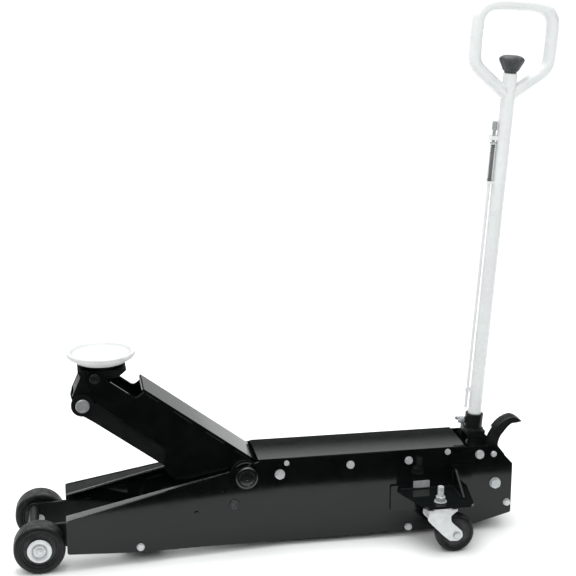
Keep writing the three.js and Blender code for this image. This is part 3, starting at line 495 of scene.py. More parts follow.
def from_cad(name, cad, body, slot, m, bevel, seg=2, extra=None, angle=35):
    """a clean copy of a CAD node's shape, ready for edge bevels"""
    g = Geo(m)
    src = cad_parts[cad].data
    bm = g.bm
    bm.from_mesh(src)
    bmesh.ops.remove_doubles(bm, verts=bm.verts, dist=2e-6)
    bmesh.ops.dissolve_limit(bm, angle_limit=rad(0.6), verts=bm.verts, edges=bm.edges)
    for f in bm.faces:
        f.smooth = True
        f.material_index = 0
    for layer in list(bm.loops.layers.uv):
        bm.loops.layers.uv.remove(layer)
    if extra:
        extra(g)
    return g.done(name, body, slot, (cad,), bevel, seg, angle)


# ------------------------------------------------------------------ camera and light
cam = bpy.data.objects.new("camera", bpy.data.cameras.new("camera"))
sc.collection.objects.link(cam)
cam.location = (-0.53916, -3.0571, 1.4463)
cam.rotation_euler = Vector((0.1717, 0.9545, -0.2436)).to_track_quat("-Z", "Y").to_euler()
cam.data.lens = 79.8
cam.data.sensor_width = 36.0
cam.data.clip_end = 100
sc.camera = cam
sc.view_settings.view_transform = "Standard"
sc.view_settings.look = "None"

w = bpy.data.worlds.new("studio")
sc.world = w
w.use_nodes = True
wt = w.node_tree
bg = wt.nodes["Background"]
wtc = node(wt, "ShaderNodeTexCoord")
wsp = node(wt, "ShaderNodeSeparateXYZ")
wt.links.new(wtc.outputs["Generated"], wsp.inputs[0])
wr = node(wt, "ShaderNodeValToRGB")
wr.color_ramp.interpolation = "EASE"
stops = ((0.0, 0.50), (0.10, 0.46), (0.17, 0.06), (0.30, 0.05), (0.58, 1.0))
while len(wr.color_ramp.elements) < len(stops):
    wr.color_ramp.elements.new(0.5)
for e, (p, v) in zip(wr.color_ramp.elements, stops):
    e.position = p
    e.color = (v * 0.985, v * 0.995, v, 1)
wt.links.new(wsp.outputs["Z"], wr.inputs[0])
sq = node(wt, "ShaderNodeMath", operation="MULTIPLY")
wt.links.new(wsp.outputs["X"], sq.inputs[0])
wt.links.new(wsp.outputs["X"], sq.inputs[1])
sd = node(wt, "ShaderNodeMapRange")
sd.inputs["To Min"].default_value, sd.inputs["To Max"].default_value = 1.0, 0.42
wt.links.new(sq.outputs[0], sd.inputs["Value"])
sc_ = node(wt, "ShaderNodeVectorMath", operation="SCALE")
wt.links.new(wr.outputs[0], sc_.inputs[0])
wt.links.new(sd.outputs[0], sc_.inputs["Scale"])
wt.links.new(sc_.outputs[0], bg.inputs[0])
bg.inputs[1].default_value = 1.85


def area(name, loc, target, size, power, sy=None):
    d = bpy.data.lights.new(name, "AREA")
    d.energy = power
    d.shape = "RECTANGLE"
    d.size, d.size_y = size, sy or size
    o = bpy.data.objects.new(name, d)
    sc.collection.objects.link(o)
    o.location = loc
    o.rotation_euler = (Vector(target) - Vector(loc)).to_track_quat("-Z", "Y").to_euler()
    return o


area("top_soft", (-0.3, 0.2, 3.6), (-0.1, 0, 0.2), 2.6, 60, 1.4)
area("front_soft", (-1.6, -3.2, 2.6), (-0.2, 0, 0.35), 1.6, 15, 1.2)
# black flag in front of the set: only seen in glossy reflections
fg = bmesh.new()
fg.faces.new([fg.verts.new(p) for p in ((-5, -0.44, 0.0), (5, -0.44, 0.0), (5, -0.44, 0.8), (-5, -0.44, 0.8))])
fme = bpy.data.meshes.new("studio_flag")
fg.to_mesh(fme)
fg.free()
M["flag"] = mat("flag_cloth", (0.004, 0.004, 0.004), (0.008, 0.008, 0.008), 12, (0.9, 1.0), 20, bump=0.02, spec=0.0)
fme.materials.append(M["flag"])
flag = bpy.data.objects.new("studio_flag", fme)
sc.collection.objects.link(flag)
flag.visible_camera = False
flag.visible_diffuse = False
flag.visible_shadow = False
flag.visible_transmission = False

g = Geo("floor")
fm = mat("studio_floor", (0.86, 0.865, 0.86), (0.88, 0.885, 0.88), 3, (0.75, 0.85), 6, bump=0.02, bscale=90)
M["floor"] = fm
fl = bmesh.new()
vs = [fl.verts.new((x, y, -0.0004)) for x, y in ((-400, -400), (400, -400), (400, 400), (-400, 400))]
fl.faces.new(vs)
me = bpy.data.meshes.new("studio_floor")
fl.to_mesh(me)
fl.free()
me.materials.append(fm)
floor = bpy.data.objects.new("studio_floor", me)
sc.collection.objects.link(floor)
g.bm.free()

# ------------------------------------------------------------------ chassis plates
TIES = [
    ("front_tie_bolt", 247, 45, 6, 10, 7), ("arm_stop_bolt", 605, 199, 8, 13, 9), ("cover_bolt_front", 623, 227, 4, 7, 4),
    ("frame_bolt_middle", 789, 211, 6, 10.5, 7), ("frame_bolt_rear", 943, 212, 6, 10.5, 7), ("frame_bolt_lower", 946, 27, 6, 10, 7),
    ("cover_bolt_rear", 1047, 228, 4.5, 8, 4.5), ("pump_mount_bolt", 1179, 133, 8, 15, 10), ("rear_tie_bolt", 1213, 76, 5.5, 10, 7),
]
STATIONS = [67, 240, 323, 400, 467, 530, 552, 620, 650, 1015, 1131, 1176, 1225]


def side_plate(s, name):
    g = Geo("black", "weld")
    holes = [circ(x, z, r + GAP, 20) for _, x, z, r, _, _ in TIES]
    holes.append(circ(PIV[0], PIV[1], 19.3, 40))
    holes.append(circ(ROD_PIV[0], ROD_PIV[1], 13.3, 32))
    holes.append(circ(HPIV[0], HPIV[1], 8.3, 24))
    holes.append(circ(1172, 214, 5.3, 20))
    low = [(x, z_bot(x)) for x in STATIONS]
    top = [(x, z_top(x)) for x in STATIONS]
    outl = rnd(low + top[::-1], [7 if x in (67, 1225) else 14 if x in (1176, 1131, 552) else 0 for x in STATIONS] + [7 if x in (67, 1225) else 14 if x in (1176, 552) else 0 for x in STATIONS[::-1]], 5)
    # web: outline split into the flared and the parallel part, joined at the fold
    def ypos(x, inner):
        o = half_out(x) - (PLATE_T if inner else 0)
        return s * o
    rings = [outl] + holes
    flat = [p for r in rings for p in r]
    # the fold at FLARE_X needs a row of vertices across the web: cut with a bisect afterwards
    vo = [g.v(p[0], ypos(p[0], False), p[1]) for p in flat]
    vi = [g.v(p[0], ypos(p[0], True), p[1]) for p in flat]
    k = 0
    for r in rings:
        n = len(r)
        for i in range(n):
            a, b = k + i, k + (i + 1) % n
            g.f([vo[a], vo[b], vi[b], vi[a]])
        k += n
    for t in tessellate_polygon([[Vector((p[0], p[1], 0)) for p in r] for r in rings]):
        g.f([vo[i] for i in t])
        g.f([vi[i] for i in t])
    # triangles that cross the fold line are flattened by cutting there
    geom = g.bm.verts[:] + g.bm.edges[:] + g.bm.faces[:]
    res = bmesh.ops.bisect_plane(g.bm, geom=geom, dist=1e-6, plane_co=W(FLARE_X, 0, 0), plane_no=(1, 0, 0))
    for v in g.bm.verts:
        x = v.co.x * 1000 + DX
        o = half_out(x)
        inner = abs(v.co.y) * 1000 < (o - PLATE_T / 2)
        v.co.y = s * (o - (PLATE_T if inner else 0)) / 1000
    # folded top flange
    for (xa, xb, m) in ((67, 323, 26), (323, 476, 16)):
        secs = []
        for i in range(m + 1):
            x = xa + (xb - xa) * i / m
            o = half_out(x) - 0.9
            wd = flange_w(x)
            zt = z_top(x)
            zc = zt - 2.5 - wd * 0.125
            lip = [(o - wd - 2.5 * math.sin(rad(t)), zc - 2.5 * math.cos(rad(t))) for t in range(0, 181, 20)]
            q = [(o, zt - 0.1), (o, zt - 5.0)] + lip
            secs.append([g.v(x, s * a, b) for a, b in q])
        # the near flange takes the lighter flange paint, a painted highlight; the far flange takes satin black
        g.use("flange" if s < 0 else "matt")
        g.loops(secs)
        # the rounded lip on each flange's inner edge is in the lighter flange paint too, a painted highlight line
        g.use("flange")
        g.tube([(xa + 1 + (xb - xa - 1) * i / m, s * (half_out(xa + 1 + (xb - xa - 1) * i / m) - 0.9 - flange_w(xa + 1 + (xb - xa - 1) * i / m)), z_top(xa + 1 + (xb - xa - 1) * i / m) - 2.5 - 0.125 * flange_w(xa + 1 + (xb - xa - 1) * i / m)) for i in range(m + 1)], 2.75, 16)
        g.use("black")
    # short studs behind the flared part
    for x, z, r in ((463, 169, 6), (390, 117, 6)):
        g.lathe([(0, 0), (r, 0), (r, 4.6), (r - 1, 5.4), (0, 5.4)], (x, s * (half_out(x) - 2), z), "y", 28, s)
    return g, s, name


for s, name in ((-1, "side_plate_right"), (1, "side_plate_left")):
    g, s, name = side_plate(s, name)
    g.use("weld")
    # stitch welds along the inside of the web
    for i, (xa, xb, za, zb_) in enumerate(((86, 132, 85, 93), (183, 226, 120, 127), (282, 320, 141, 153))):
        pts = [(xa + (xb - xa) * k / 8, s * (half_out(xa + (xb - xa) * k / 8) - PLATE_T - 0.8), za + (zb_ - za) * k / 8) for k in range(9)]
        g.bead(pts, 3.2, i + (3 if s > 0 else 0))
    g.done(name, "chassis", "gloss_black_paint", (name,), 0.9, 3)

# ------------------------------------------------------------------ top cover: folded lid
g = Geo("black")
s_, s2, wv = HALF_REAR - PLATE_T - GAP, HALF_REAR - PLATE_T - GAP - 3.2, HALF_REAR
sec = [(-s_, 237.8), (-s_, 219), (-s2, 219), (-s2, 237.8), (s2, 237.8), (s2, 219), (s_, 219), (s_, 237.8), (wv, 237.8), (wv, 241), (-wv, 241), (-wv, 237.8)]
sec = rnd(sec, [0, 1, 1, 1.5, 1.5, 1, 1, 0, 0.8, 3.0, 3.0, 0.8], 4)
g.prism(sec, 550, 1096, "x")
g.done("top_cover", "chassis", "gloss_black_paint", ("top_cover",), 0.8, 2)

# ------------------------------------------------------------------ front subframe
g = Geo("black2", "weld")
outline = [(-24, 50), (-10, 42), (14, 42), (60, 46), (150, 40), (300, 33), (300, 60), (230, 84), (150, 100), (58, 108), (30, 106), (-4, 106), (-26, 98), (-30, 76)]
outline = rnd(outline, [10, 8, 10, 20, 40, 5, 5, 30, 30, 20, 10, 12, 10, 14], 4)
for y0, y1 in ((64, 74), (-74, -64)):
    g.prism(outline, y0, y1, "y", [circ(0, FW_R, 12.3, 36)])
g.lathe([(0, -64.6), (11, -64.6), (13, -62.6), (13, 62.6), (11, 64.6), (0, 64.6)], (-14, 0, 91), "y", 48)
yb = lambda x: half_out(x) - PLATE_T - GAP
g.prism([(205, -yb(205)), (300, -yb(300)), (300, yb(300)), (205, yb(205))], 33, 39, "z")
for s in (1, -1):
    g.prism([(72, s * 70), (112, s * 70), (112, s * yb(112)), (72, s * yb(72))], 94, 100, "z")
g.use("weld")
for s in (1, -1):
    g.bead([(-14 + 15 * math.cos(a), s * 63.2, 91 + 15 * math.sin(a)) for a in [2 * math.pi * k / 40 for k in range(41)]], 2.2, 5 + s)
    g.bead([(x, s * 63.4, 39.8) for x in range(210, 297, 4)], 2.2, 9 + s)
    g.bead([(x, s * 74.6, 101.0) for x in range(75, 111, 4)], 2.2, 12 + s)
g.done("front_subframe", "chassis", "frame_black_paint", ("front_subframe",), 0.8, 2)

# ------------------------------------------------------------------ rear cross plate
g = Geo("black2")
q = HALF_REAR - PLATE_T - GAP
g.prism(rnd([(-q, 56), (q, 56), (q, 168), (34, 168), (26, 158), (-26, 158), (-34, 168), (-q, 168)], [3, 3, 3, 4, 4, 4, 4, 3]), 1220.6, 1224.6, "x")
g.use("weld")
for s in (1, -1):
    for k, (z0, z1) in enumerate(((62, 92), (124, 156))):
        g.bead([(1219.4, s * (q - 0.6), z) for z in range(z0, z1, 4)], 1.9, k)
g.done("rear_cross_plate", "chassis", "frame_black_paint", ("rear_cross_plate",), 0.7, 2)


# ------------------------------------------------------------------ bolts
def head(g, x, y, z, r, h, s, washer=True, seed=0.0):
    """hex head on a washer, facing s along Y; y is the seat"""
    g.use("zinc")
    t = min(1.6, h * 0.3)
    if washer:
        g.lathe([(0, 0), (r * 1.0, 0), (r * 1.0, t * 0.75), (r * 0.96, t), (0, t)], (x, y, z), "y", 36, s)
    g.hexa(r * 0.93, t, h, (x, y, z), "y", s, seed)


def nut_end(g, x, y, z, r, h, s, shank, seed=0.0):
    g.use("zinc")
    t = min(1.6, h * 0.3)
    g.lathe([(0, 0), (r, 0), (r, t * 0.75), (r * 0.96, t), (0, t)], (x, y, z), "y", 36, s)
    g.hexa(r * 0.93, t, h - 1.4, (x, y, z), "y", s, seed)
    # thread end
    prof = [(0, h - 1.6)]
    k = h - 1.6
    prof += [(shank * 0.96, k), (shank * 0.96, h - 0.6), (shank * 0.8, h), (0, h)]
    g.lathe(prof, (x, y, z), "y", 28, s)


for i, (name, x, z, r, hr, hh) in enumerate(TIES):
    g = Geo("zinc")
    o = half_out(x - hr) + GAP
    g.lathe([(0, -o - 0.5), (r, -o - 0.5), (r, o + 0.5), (0, o + 0.5)], (x, 0, z), "y", 28)
    head(g, x, -o, z, hr, hh, -1, True, 0.35 * i)
    nut_end(g, x, o, z, hr, hh, 1, r, 0.2 + 0.27 * i)
    g.done(name, "chassis", "zinc_fasteners", (name,), 0.0, 1, 30)

# ------------------------------------------------------------------ front wheels with their axle bolts
for s, side in ((1, "left"), (-1, "right")):
    g = Geo("rubber", "hub")
    wd = FW_Y1 - FW_Y0
    c = wd / 2
    y0 = s * (FW_Y0 + c)
    R = FW_R
    tread = []
    # shallow rounded tread with two wear grooves
    for k in range(0, 25):
        t = -1 + 2 * k / 24
        h = t * (c - 7.5)
        rr = R - 0.5 * t * t
        if 0.42 < abs(t) < 0.55:
            rr -= 0.9
        tread.append((rr, h))
    prof = [(44, -c + 3.6), (46, -c + 1.2), (50, -c), (55.5, -c), (59.5, -c + 1.6), (61.8, -c + 4.4)] + tread + [(61.8, c - 4.4), (59.5, c - 1.6), (55.5, c), (50, c), (46, c - 1.2), (44, c - 3.6), (44, -c + 3.6)]
    g.lathe(prof, (0, y0, R), "y", 96)
    g.use("hub")
    g.lathe([(12.8, -c), (24, -c), (26, -c + 1), (27, -c + 6), (40, -c + 7.5), (42.5, -c + 3.0), (44.6, -c + 2.2), (44.6, c - 2.2), (42.5, c - 3.0), (40, c - 7.5), (31, c - 6), (30, c - 1), (28, c), (12.8, c), (12.8, -c)], (0, y0, R), "y", 72)
    g.done("front_wheel_" + side, "front_wheel_" + side, "wheel_rubber", ("front_wheel_" + side,), 0.5, 2)
    g = Geo("zinc_light", "zinc")
    ys = s * (FW_Y1 + GAP)
    g.use("zinc")
    g.lathe([(0, 62.7), (12, 62.7), (12, FW_Y1 + 1), (0, FW_Y1 + 1)], (0, 0, FW_R), "y", 36, s)
    g.use("zinc_light")
    g.lathe([(19.0, 0), (29.2, 0), (30, 0.8), (30, 2.6), (29.0, 3.8), (26.5, 4.4), (22.5, 4.2), (20.6, 3.0), (19.0, 1.9), (19.0, 0)], (0, ys, FW_R), "y", 72, s)
    g.use("steel")
    g.lathe([(0, 0), (19.2, 0), (19.2, 1.6), (15.2, 1.7), (0, 1.7)], (0, ys, FW_R), "y", 72, s)
    g.use("zinc_light")
    g.lathe([(0, 1.6), (14.6, 1.6), (14.8, 3.8), (14.0, 4.6), (0, 4.6)], (0, ys, FW_R), "y", 56, s)
    g.use("zinc")
    g.hexa(10.6, 4.5, 9.6, (0, ys, FW_R), "y", s, 0.3)
    g.lathe([(0, 9), (6.2, 9), (6.2, 10.6), (5.2, 11.6), (0, 11.6)], (0, ys, FW_R), "y", 32, s)
    g.done("front_axle_bolt_" + side, "chassis", "zinc_fasteners", ("front_axle_bolt_" + side,), 0.0, 1, 30)

# ------------------------------------------------------------------ lift arm
g = Geo("black", "weld", "steel")
outline = [(-20, 36), (-48, 20), (-52, -8), (-40, -34), (-14, -50), (22, -50), (56, -38), (82, -56), (104, -84), (136, -106), (168, -106), (186, -92), (198, -53), (400, -52), (424, -46), (446, -36), (470, -20), (481, -6), (481, 6), (470, 13), (344, 13), (337, 38), (-10, 38)]
radii = [10, 16, 20, 16, 20, 20, 10, 20, 20, 12, 12, 14, 14, 14, 16, 16, 14, 8, 8, 10, 10, 2, 2]
pts = [A2(u, v) for u, v in rnd(outline, radii, 4)]
for s in (1, -1):
    lo, hi = (50, 57.5) if s > 0 else (-57.5, -50)
    g.prism(pts, lo, hi, "y", [circ(SAD_PIN[0], SAD_PIN[1], 10.3, 32), circ(PIV[0], PIV[1], 19.3, 40)])
g.prism([A2(u, v) for u, v in rnd([(-14, 38), (345, 38), (345, 44.5), (-14, 44.5)], [0, 0, 3, 3])], -60, 60)
hub_y = half_out(PIV[0] + 36) - PLATE_T - 0.8
g.lathe([(19.3, -hub_y), (32, -hub_y), (34, -hub_y + 2), (34, hub_y - 2), (32, hub_y), (19.3, hub_y), (19.3, -hub_y)], (PIV[0], 0, PIV[1]), "y", 64)
a_ = rad(16.5)
d_, n_ = (-math.sin(a_), -math.cos(a_)), (math.cos(a_), -math.sin(a_))
qq = lambda r, t: (PIV[0] + d_[0] * r + n_[0] * t, PIV[1] + d_[1] * r + n_[1] * t)
arc = [qq(70 + 22 * math.cos(b), 22 * math.sin(b)) for b in [math.pi / 2 - math.pi * k / 16 for k in range(17)]]
for lo, hi in ((13, 26), (-26, -13)):
    g.prism([qq(10, 30)] + arc + [qq(10, -30)], lo, hi)
for u0, u1, v0, v1 in ((120, 127, -24, 39), (262, 269, -18, 39)):
    g.prism([A2(u, v) for u, v in ((u0, v0), (u1, v0), (u1, v1), (u0, v1))], -51, 51)
g.use("steel")
g.lathe([(0, -29), (11, -29), (12, -28), (12, 28), (11, 29), (0, 29)], (CRANK[0], 0, CRANK[1]), "y", 40)
g.use("weld")
for s in (1, -1):
    segs = [(8, 60), (92, 150), (190, 250), (292, 334)]
    for k, (u0, u1) in enumerate(segs):
        g.bead([(A2(u, 37.2)[0], s * 58.0, A2(u, 37.2)[1]) for u in [u0 + (u1 - u0) * i / 16 for i in range(17)]], 2.0, k + 2 * s)
    g.bead([(PIV[0] + 35.2 * math.cos(b), s * 58.2, PIV[1] + 35.2 * math.sin(b)) for b in [2 * math.pi * k / 60 for k in range(61)]], 2.2, 4 + s)
g.done("lift_arm", "lift_arm", "gloss_black_paint", ("lift_arm",), 0.9, 3)

o = half_out(PIV[0] - 30) + GAP
g = Geo("collar", "steel")
g.lathe([(0, -o - 5.5), (19, -o - 5.5), (19, o + 5.5), (0, o + 5.5)], (PIV[0], 0, PIV[1]), "y", 48)
for s in (1, -1):
    g.use("collar")
    g.lathe([(0, 0), (28, 0), (29, 1), (29, 8.5), (27.6, 11.0), (25, 12.6), (23, 13.0), (20.5, 13.0), (19.6, 11.8), (18.8, 11.6), (18.2, 12.6), (16.5, 13.0), (5, 13.0), (3.4, 11.2), (0, 11.2)], (PIV[0], s * o, PIV[1]), "y", 64, s)
g.done("arm_pivot_shaft", "chassis", "pin_steel", ("arm_pivot_shaft",), 0.0, 1, 32)

# ------------------------------------------------------------------ saddle yoke, pins, rods
g = Geo("matt", "weld")
cheek = [(212, 486), (200, 474), (186, 456), (172, 436), (158, 412), (147, 396)]
cheek += [(LOW_PIN[0] + 26 * math.cos(rad(-18 - k * 10.25)), LOW_PIN[1] + 26 * math.sin(rad(-18 - k * 10.25))) for k in range(17)]
cheek += [(94, 424), (104, 446), (113, 466), (120, 486)]
for lo, hi in ((30, 39.5), (-39.5, -30)):
    g.prism(cheek, lo, hi, "y", [circ(SAD_PIN[0], SAD_PIN[1], 10.3, 32), circ(LOW_PIN[0], LOW_PIN[1], 14.3, 36)])
hd = rnd([(109, 490.5), (116, 478), (122, 470), (206, 470), (216, 478), (230, 490.5)], [1.5, 4, 5, 5, 4, 1.5])
for lo, hi in ((-47.5, -9.6), (9.6, 47.5)):
    g.prism(hd, lo, hi)
g.prism(rnd([(109, 490.5), (116, 478), (122, 470), (159.2, 470), (159.2, 490.5)], [1.5, 4, 5, 0, 0]), -9.7, 9.7)
g.prism(rnd([(178.8, 470), (206, 470), (216, 478), (230, 490.5), (178.8, 490.5)], [0, 5, 4, 1.5, 0]), -9.7, 9.7)
g.lathe([(10.3, -49), (15, -49), (16, -48), (16, 48), (15, 49), (10.3, 49), (10.3, -49)], (SAD_PIN[0], 0, SAD_PIN[1]), "y", 48)
g.prism(rnd([(98, 432), (106, 428), (122, 462), (114, 466)], 2), -31, 31)
g.use("weld")
for s in (1, -1):
    g.bead([(x, s * 40.2, 469.6) for x in range(128, 200, 4)], 2.2, s + 2)
    g.bead([(SAD_PIN[0] + 17 * math.cos(b), s * 40.0, SAD_PIN[1] + 17 * math.sin(b)) for b in [2 * math.pi * k / 40 for k in range(24, 41)]], 1.8, s + 4)
g.done("saddle_yoke", "yoke", "gloss_black_paint", ("saddle_yoke",), 0.9, 3)

g = Geo("steel_dark")
g.lathe([(0, -61.5), (6, -61.5), (7, -60.6), (8, -61.5), (11.6, -61.5), (12.5, -60.6), (12.5, -58.6), (11.8, -57.8), (10, -57.8), (10, 57.8), (11.8, 57.8), (12.5, 58.6), (12.5, 60.6), (11.6, 61.5), (0, 61.5)], (SAD_PIN[0], 0, SAD_PIN[1]), "y", 48)
g.done("saddle_pin", "lift_arm", "pin_steel", ("saddle_pin",), 0.0, 1, 30)
g = Geo("steel")
hp = lambda s: [(14, 48.9), (16.2, 48.9), (17, 49.8), (17, 54.4), (15.6, 56), (12, 56), (11, 55.2), (7, 55.0), (0, 55.0)]
g.lathe([(0, -55.0), (7, -55.0), (11, -55.2), (12, -56), (15.6, -56), (17, -54.4), (17, -49.8), (16.2, -48.9), (14, -48.9)] + hp(1), (LOW_PIN[0], 0, LOW_PIN[1]), "y", 56)
g.done("rod_front_pin", "yoke", "pin_steel", ("rod_front_pin",), 0.0, 1, 30)

dx, dz = LOW_PIN[0] - ROD_PIV[0], LOW_PIN[1] - ROD_PIV[1]
L = math.hypot(dx, dz)
d_, n_ = (dx / L, dz / L), (-dz / L, dx / L)
q2 = lambda u, v: (ROD_PIV[0] + d_[0] * u + n_[0] * v, ROD_PIV[1] + d_[1] * u + n_[1] * v)
eye = lambda u, r, a0, a1, m=22: [q2(u + r * math.cos(rad(a0 + (a1 - a0) * k / m)), r * math.sin(rad(a0 + (a1 - a0) * k / m))) for k in range(m + 1)]
rp = eye(0, 24, 60, 300) + [q2(40, -19), q2(L - 44, -20)] + eye(L, 28, -130, 130) + [q2(L - 44, 20), q2(40, 19)]
for side, lo, hi in (("left", 40.5, 48.5), ("right", -48.5, -40.5)):
    g = Geo("matt")
    g.prism(rp, lo, hi, "y", [circ(LOW_PIN[0], LOW_PIN[1], 14.3, 36), circ(ROD_PIV[0], ROD_PIV[1], 13.3, 32)])
    g.done("radius_rod_" + side, "radius_rods", "gloss_black_paint", ("radius_rod_" + side,), 1.0, 3)
for side, s in (("left", 1), ("right", -1)):
    o = half_out(ROD_PIV[0])
    g = Geo("steel_dark")
    g.lathe([(0, 35), (15, 35), (16, 36), (16, 39.0), (15, 39.9), (13, 39.9), (13, o + 2), (12, o + 3), (0, o + 3)], (ROD_PIV[0], 0, ROD_PIV[1]), "y", 44, s)
    g.done("rod_pivot_pin_" + side, "chassis", "pin_steel", ("rod_pivot_pin_" + side,), 0.0, 1, 30)

# ------------------------------------------------------------------ saddle
g = Geo("saddle", "steel")
h = 527
prof = [(9, h - 36.2), (45, h - 36.2), (49, h - 35.2), (55, h - 30.5), (62, h - 24.6), (72, h - 18.2), (79, h - 14.0), (82.6, h - 10.8), (84, h - 8.4), (84, h - 3.0), (83.4, h - 1.0), (82, h - 0.1), (78, h), (75, h - 0.8), (73, h - 3.0), (71, h - 5.6), (68, h - 6.9), (60, h - 7), (58.8, h - 7.7), (57.6, h - 7), (42, h - 7), (40.8, h - 7.7), (39.6, h - 7), (24, h - 7), (22.8, h - 7.7), (21.6, h - 7), (9, h - 7), (0, h - 7)]
kz = [i for i, p in enumerate(prof) if p[1] > h - 22][0]
g.lathe(prof[kz - 1:] , (169, 0, 0), "z", 96)
g.use("black2")
g.lathe([(9.02, h - 36.2)] + prof[1:kz], (169, 0, 0), "z", 96)
g.use("steel")
g.lathe([(0, 478), (8, 478), (9, 479), (9, h - 36.2), (9.02, h - 36.2)], (169, 0, 0), "z", 48)
g.done("saddle", "saddle", "saddle_light_paint", ("saddle",), 0.0, 1, 40)

# ------------------------------------------------------------------ hydraulic unit
g = Geo("steel", "cast")
x0 = CRANK[0]
for lo, hi in ((106, 117), (155, 160)):
    g.prism(rnd([(x0 - 28, lo), (x0 + 14, lo), (x0 + 14, hi), (x0 - 28, hi)], [3, 0, 0, 3]), -12, 12)
g.prism(rnd([(x0 - 28, 106), (x0 - 14, 106), (x0 - 14, 160), (x0 - 28, 160)], [3, 0, 0, 3]), -11.99, 11.99)
g.prism([(x0 + 14, 106), (x0 + 74, 106), (x0 + 74, 160), (x0 + 14, 160)], -12, 12)
g.prism(rnd([(-62, 122), (62, 122), (62, 144), (-62, 144)], 4), x0 + 62, x0 + 72, "x")
g.done("ram_head", "ram", "pin_steel", ("ram_head",), 0.6, 2)
g = Geo("chrome")
g.lathe([(0, x0 + 53), (10, x0 + 53), (10, x0 + 74.4), (17.4, x0 + 74.4), (18, x0 + 75), (18, 800), (27.6, 800), (27.6, 822), (0, 822)], (0, 0, 136), "x", 56)
g.done("ram_rod", "ram", "polished_steel", ("ram_rod",), 0.0, 1, 30)
g = Geo("cyl", "weld", "chrome")
g.lathe([(18.3, 632), (33, 632), (34.4, 632.6), (37, 635), (37, 648), (36.2, 649.2), (38, 650.4), (38, 799), (47, 799.6), (48, 801), (48, 1068), (47, 1069), (18.3, 1069), (18.3, 632)], (0, 0, 136), "x", 72)
g.prism(rnd([(-65, 92), (65, 92), (65, 176), (-65, 176)], 8), 742, 752, "x")
g.use("weld")
for xx in (740.4, 753.6):
    g.bead([(xx, 39.6 * math.cos(b), 136 + 39.6 * math.sin(b)) for b in [2 * math.pi * k / 60 for k in range(61)]], 2.4, int(xx))
g.bead([(799.2, 40.5 * math.cos(b), 136 + 40.5 * math.sin(b)) for b in [2 * math.pi * k / 60 for k in range(61)]], 2.2, 3)
g.done("hydraulic_cylinder", "chassis", "cylinder_paint", ("hydraulic_cylinder",), 0.0, 1, 30)
g = Geo("cast", "chrome")
g.prism(rnd([(1069.3, 62), (1207, 62), (1207, 150), (1069.3, 150)], [6, 8, 6, 6]), -56, 56)
g.lathe([(0, 148), (13.4, 148), (12, 151), (12, 155.4), (11.4, 156), (9.5, 156), (9.5, 148)], (PUMP_X, 0, 0), "z", 40)
g.lathe([(0, 148), (10, 148), (8.8, 151), (8.8, 155.4), (8.2, 156), (6.5, 156), (6.5, 148)], (FOOT_X, -48, 0), "z", 36)
g.done("pump_block", "chassis", "frame_black_paint", ("pump_block",), 1.6, 3)

for nm, xx, yy, r, r2, z0, z1, zt, body in (("pump_plunger", PUMP_X, 0, 9, 11, 104, 206, 217.6, "pump_plunger"), ("foot_plunger", FOOT_X, -48, 6, 9, 112, 184, 190, "foot_plunger")):
    g = Geo("chrome", "steel")
    g.lathe([(0, z0), (r - 1, z0), (r, z0 + 1), (r, z1), (r2 - 0.6, z1), (r2, z1 + 0.6), (r2, zt - 2.4), (r2 * 0.86, zt - 0.8), (r2 * 0.5, zt - 0.1), (0, zt)], (xx, yy, 0), "z", 40)
    g.done(nm, body, "polished_steel", (nm,), 0.0, 1, 30)
for nm, xx, yy, ro, wire, z0, z1, turns, joint, keep in (("pump_plunger_spring", PUMP_X, 0, 11.4, 0.95, 156.4, 205.6, 10, "pump_stroke", 0.51), ("foot_plunger_spring", FOOT_X, -48, 8.8, 0.95, 156.4, 183.6, 6.5, "foot_stroke", 0.58)):
    g = Geo("spring")
    g.helix((xx, yy, z0), (0, 0, 1), ro - wire, wire, z1 - z0, turns)
    o_ = g.done(nm, "chassis", "spring_steel", (nm,), 0.0, 1, 60)
    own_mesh(o_)
for side, s in (("left", 1), ("right", -1)):
    g = Geo("spring")
    xs, ys, zs = x0 + 72.5, s * 51, 133
    turns, rr, wire = 22, 8.6, 1.35
    pts = []
    # closed-wound extension coil with a hook at each end
    for k in range(11):
        t = k / 10
        pts.append((xs + 1.5 + 8.5 * t, ys + 8.6 * math.sin(math.pi * 0.5 * t), zs + 3.2 * math.sin(math.pi * t)))
    for k in range(1, turns * 20 + 1):
        a = 2 * math.pi * k / 20
        pts.append((xs + 10 + (92.0) * k / (turns * 20), ys + rr * math.cos(a), zs + rr * math.sin(a)))
    for k in range(1, 11):
        t = k / 10
        pts.append((xs + 102 + 8.0 * t, ys + rr * math.cos(math.pi * 0.5 * t), zs - 3.2 * math.sin(math.pi * t)))
    g.tube(pts, wire, 10)
    o_ = None
    bm_o = g
    o_ = g.done("return_spring_" + side, "ram", "spring_steel", ("return_spring_" + side,), 0.0, 1, 60)
    o_.parent = None
    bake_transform(o_)

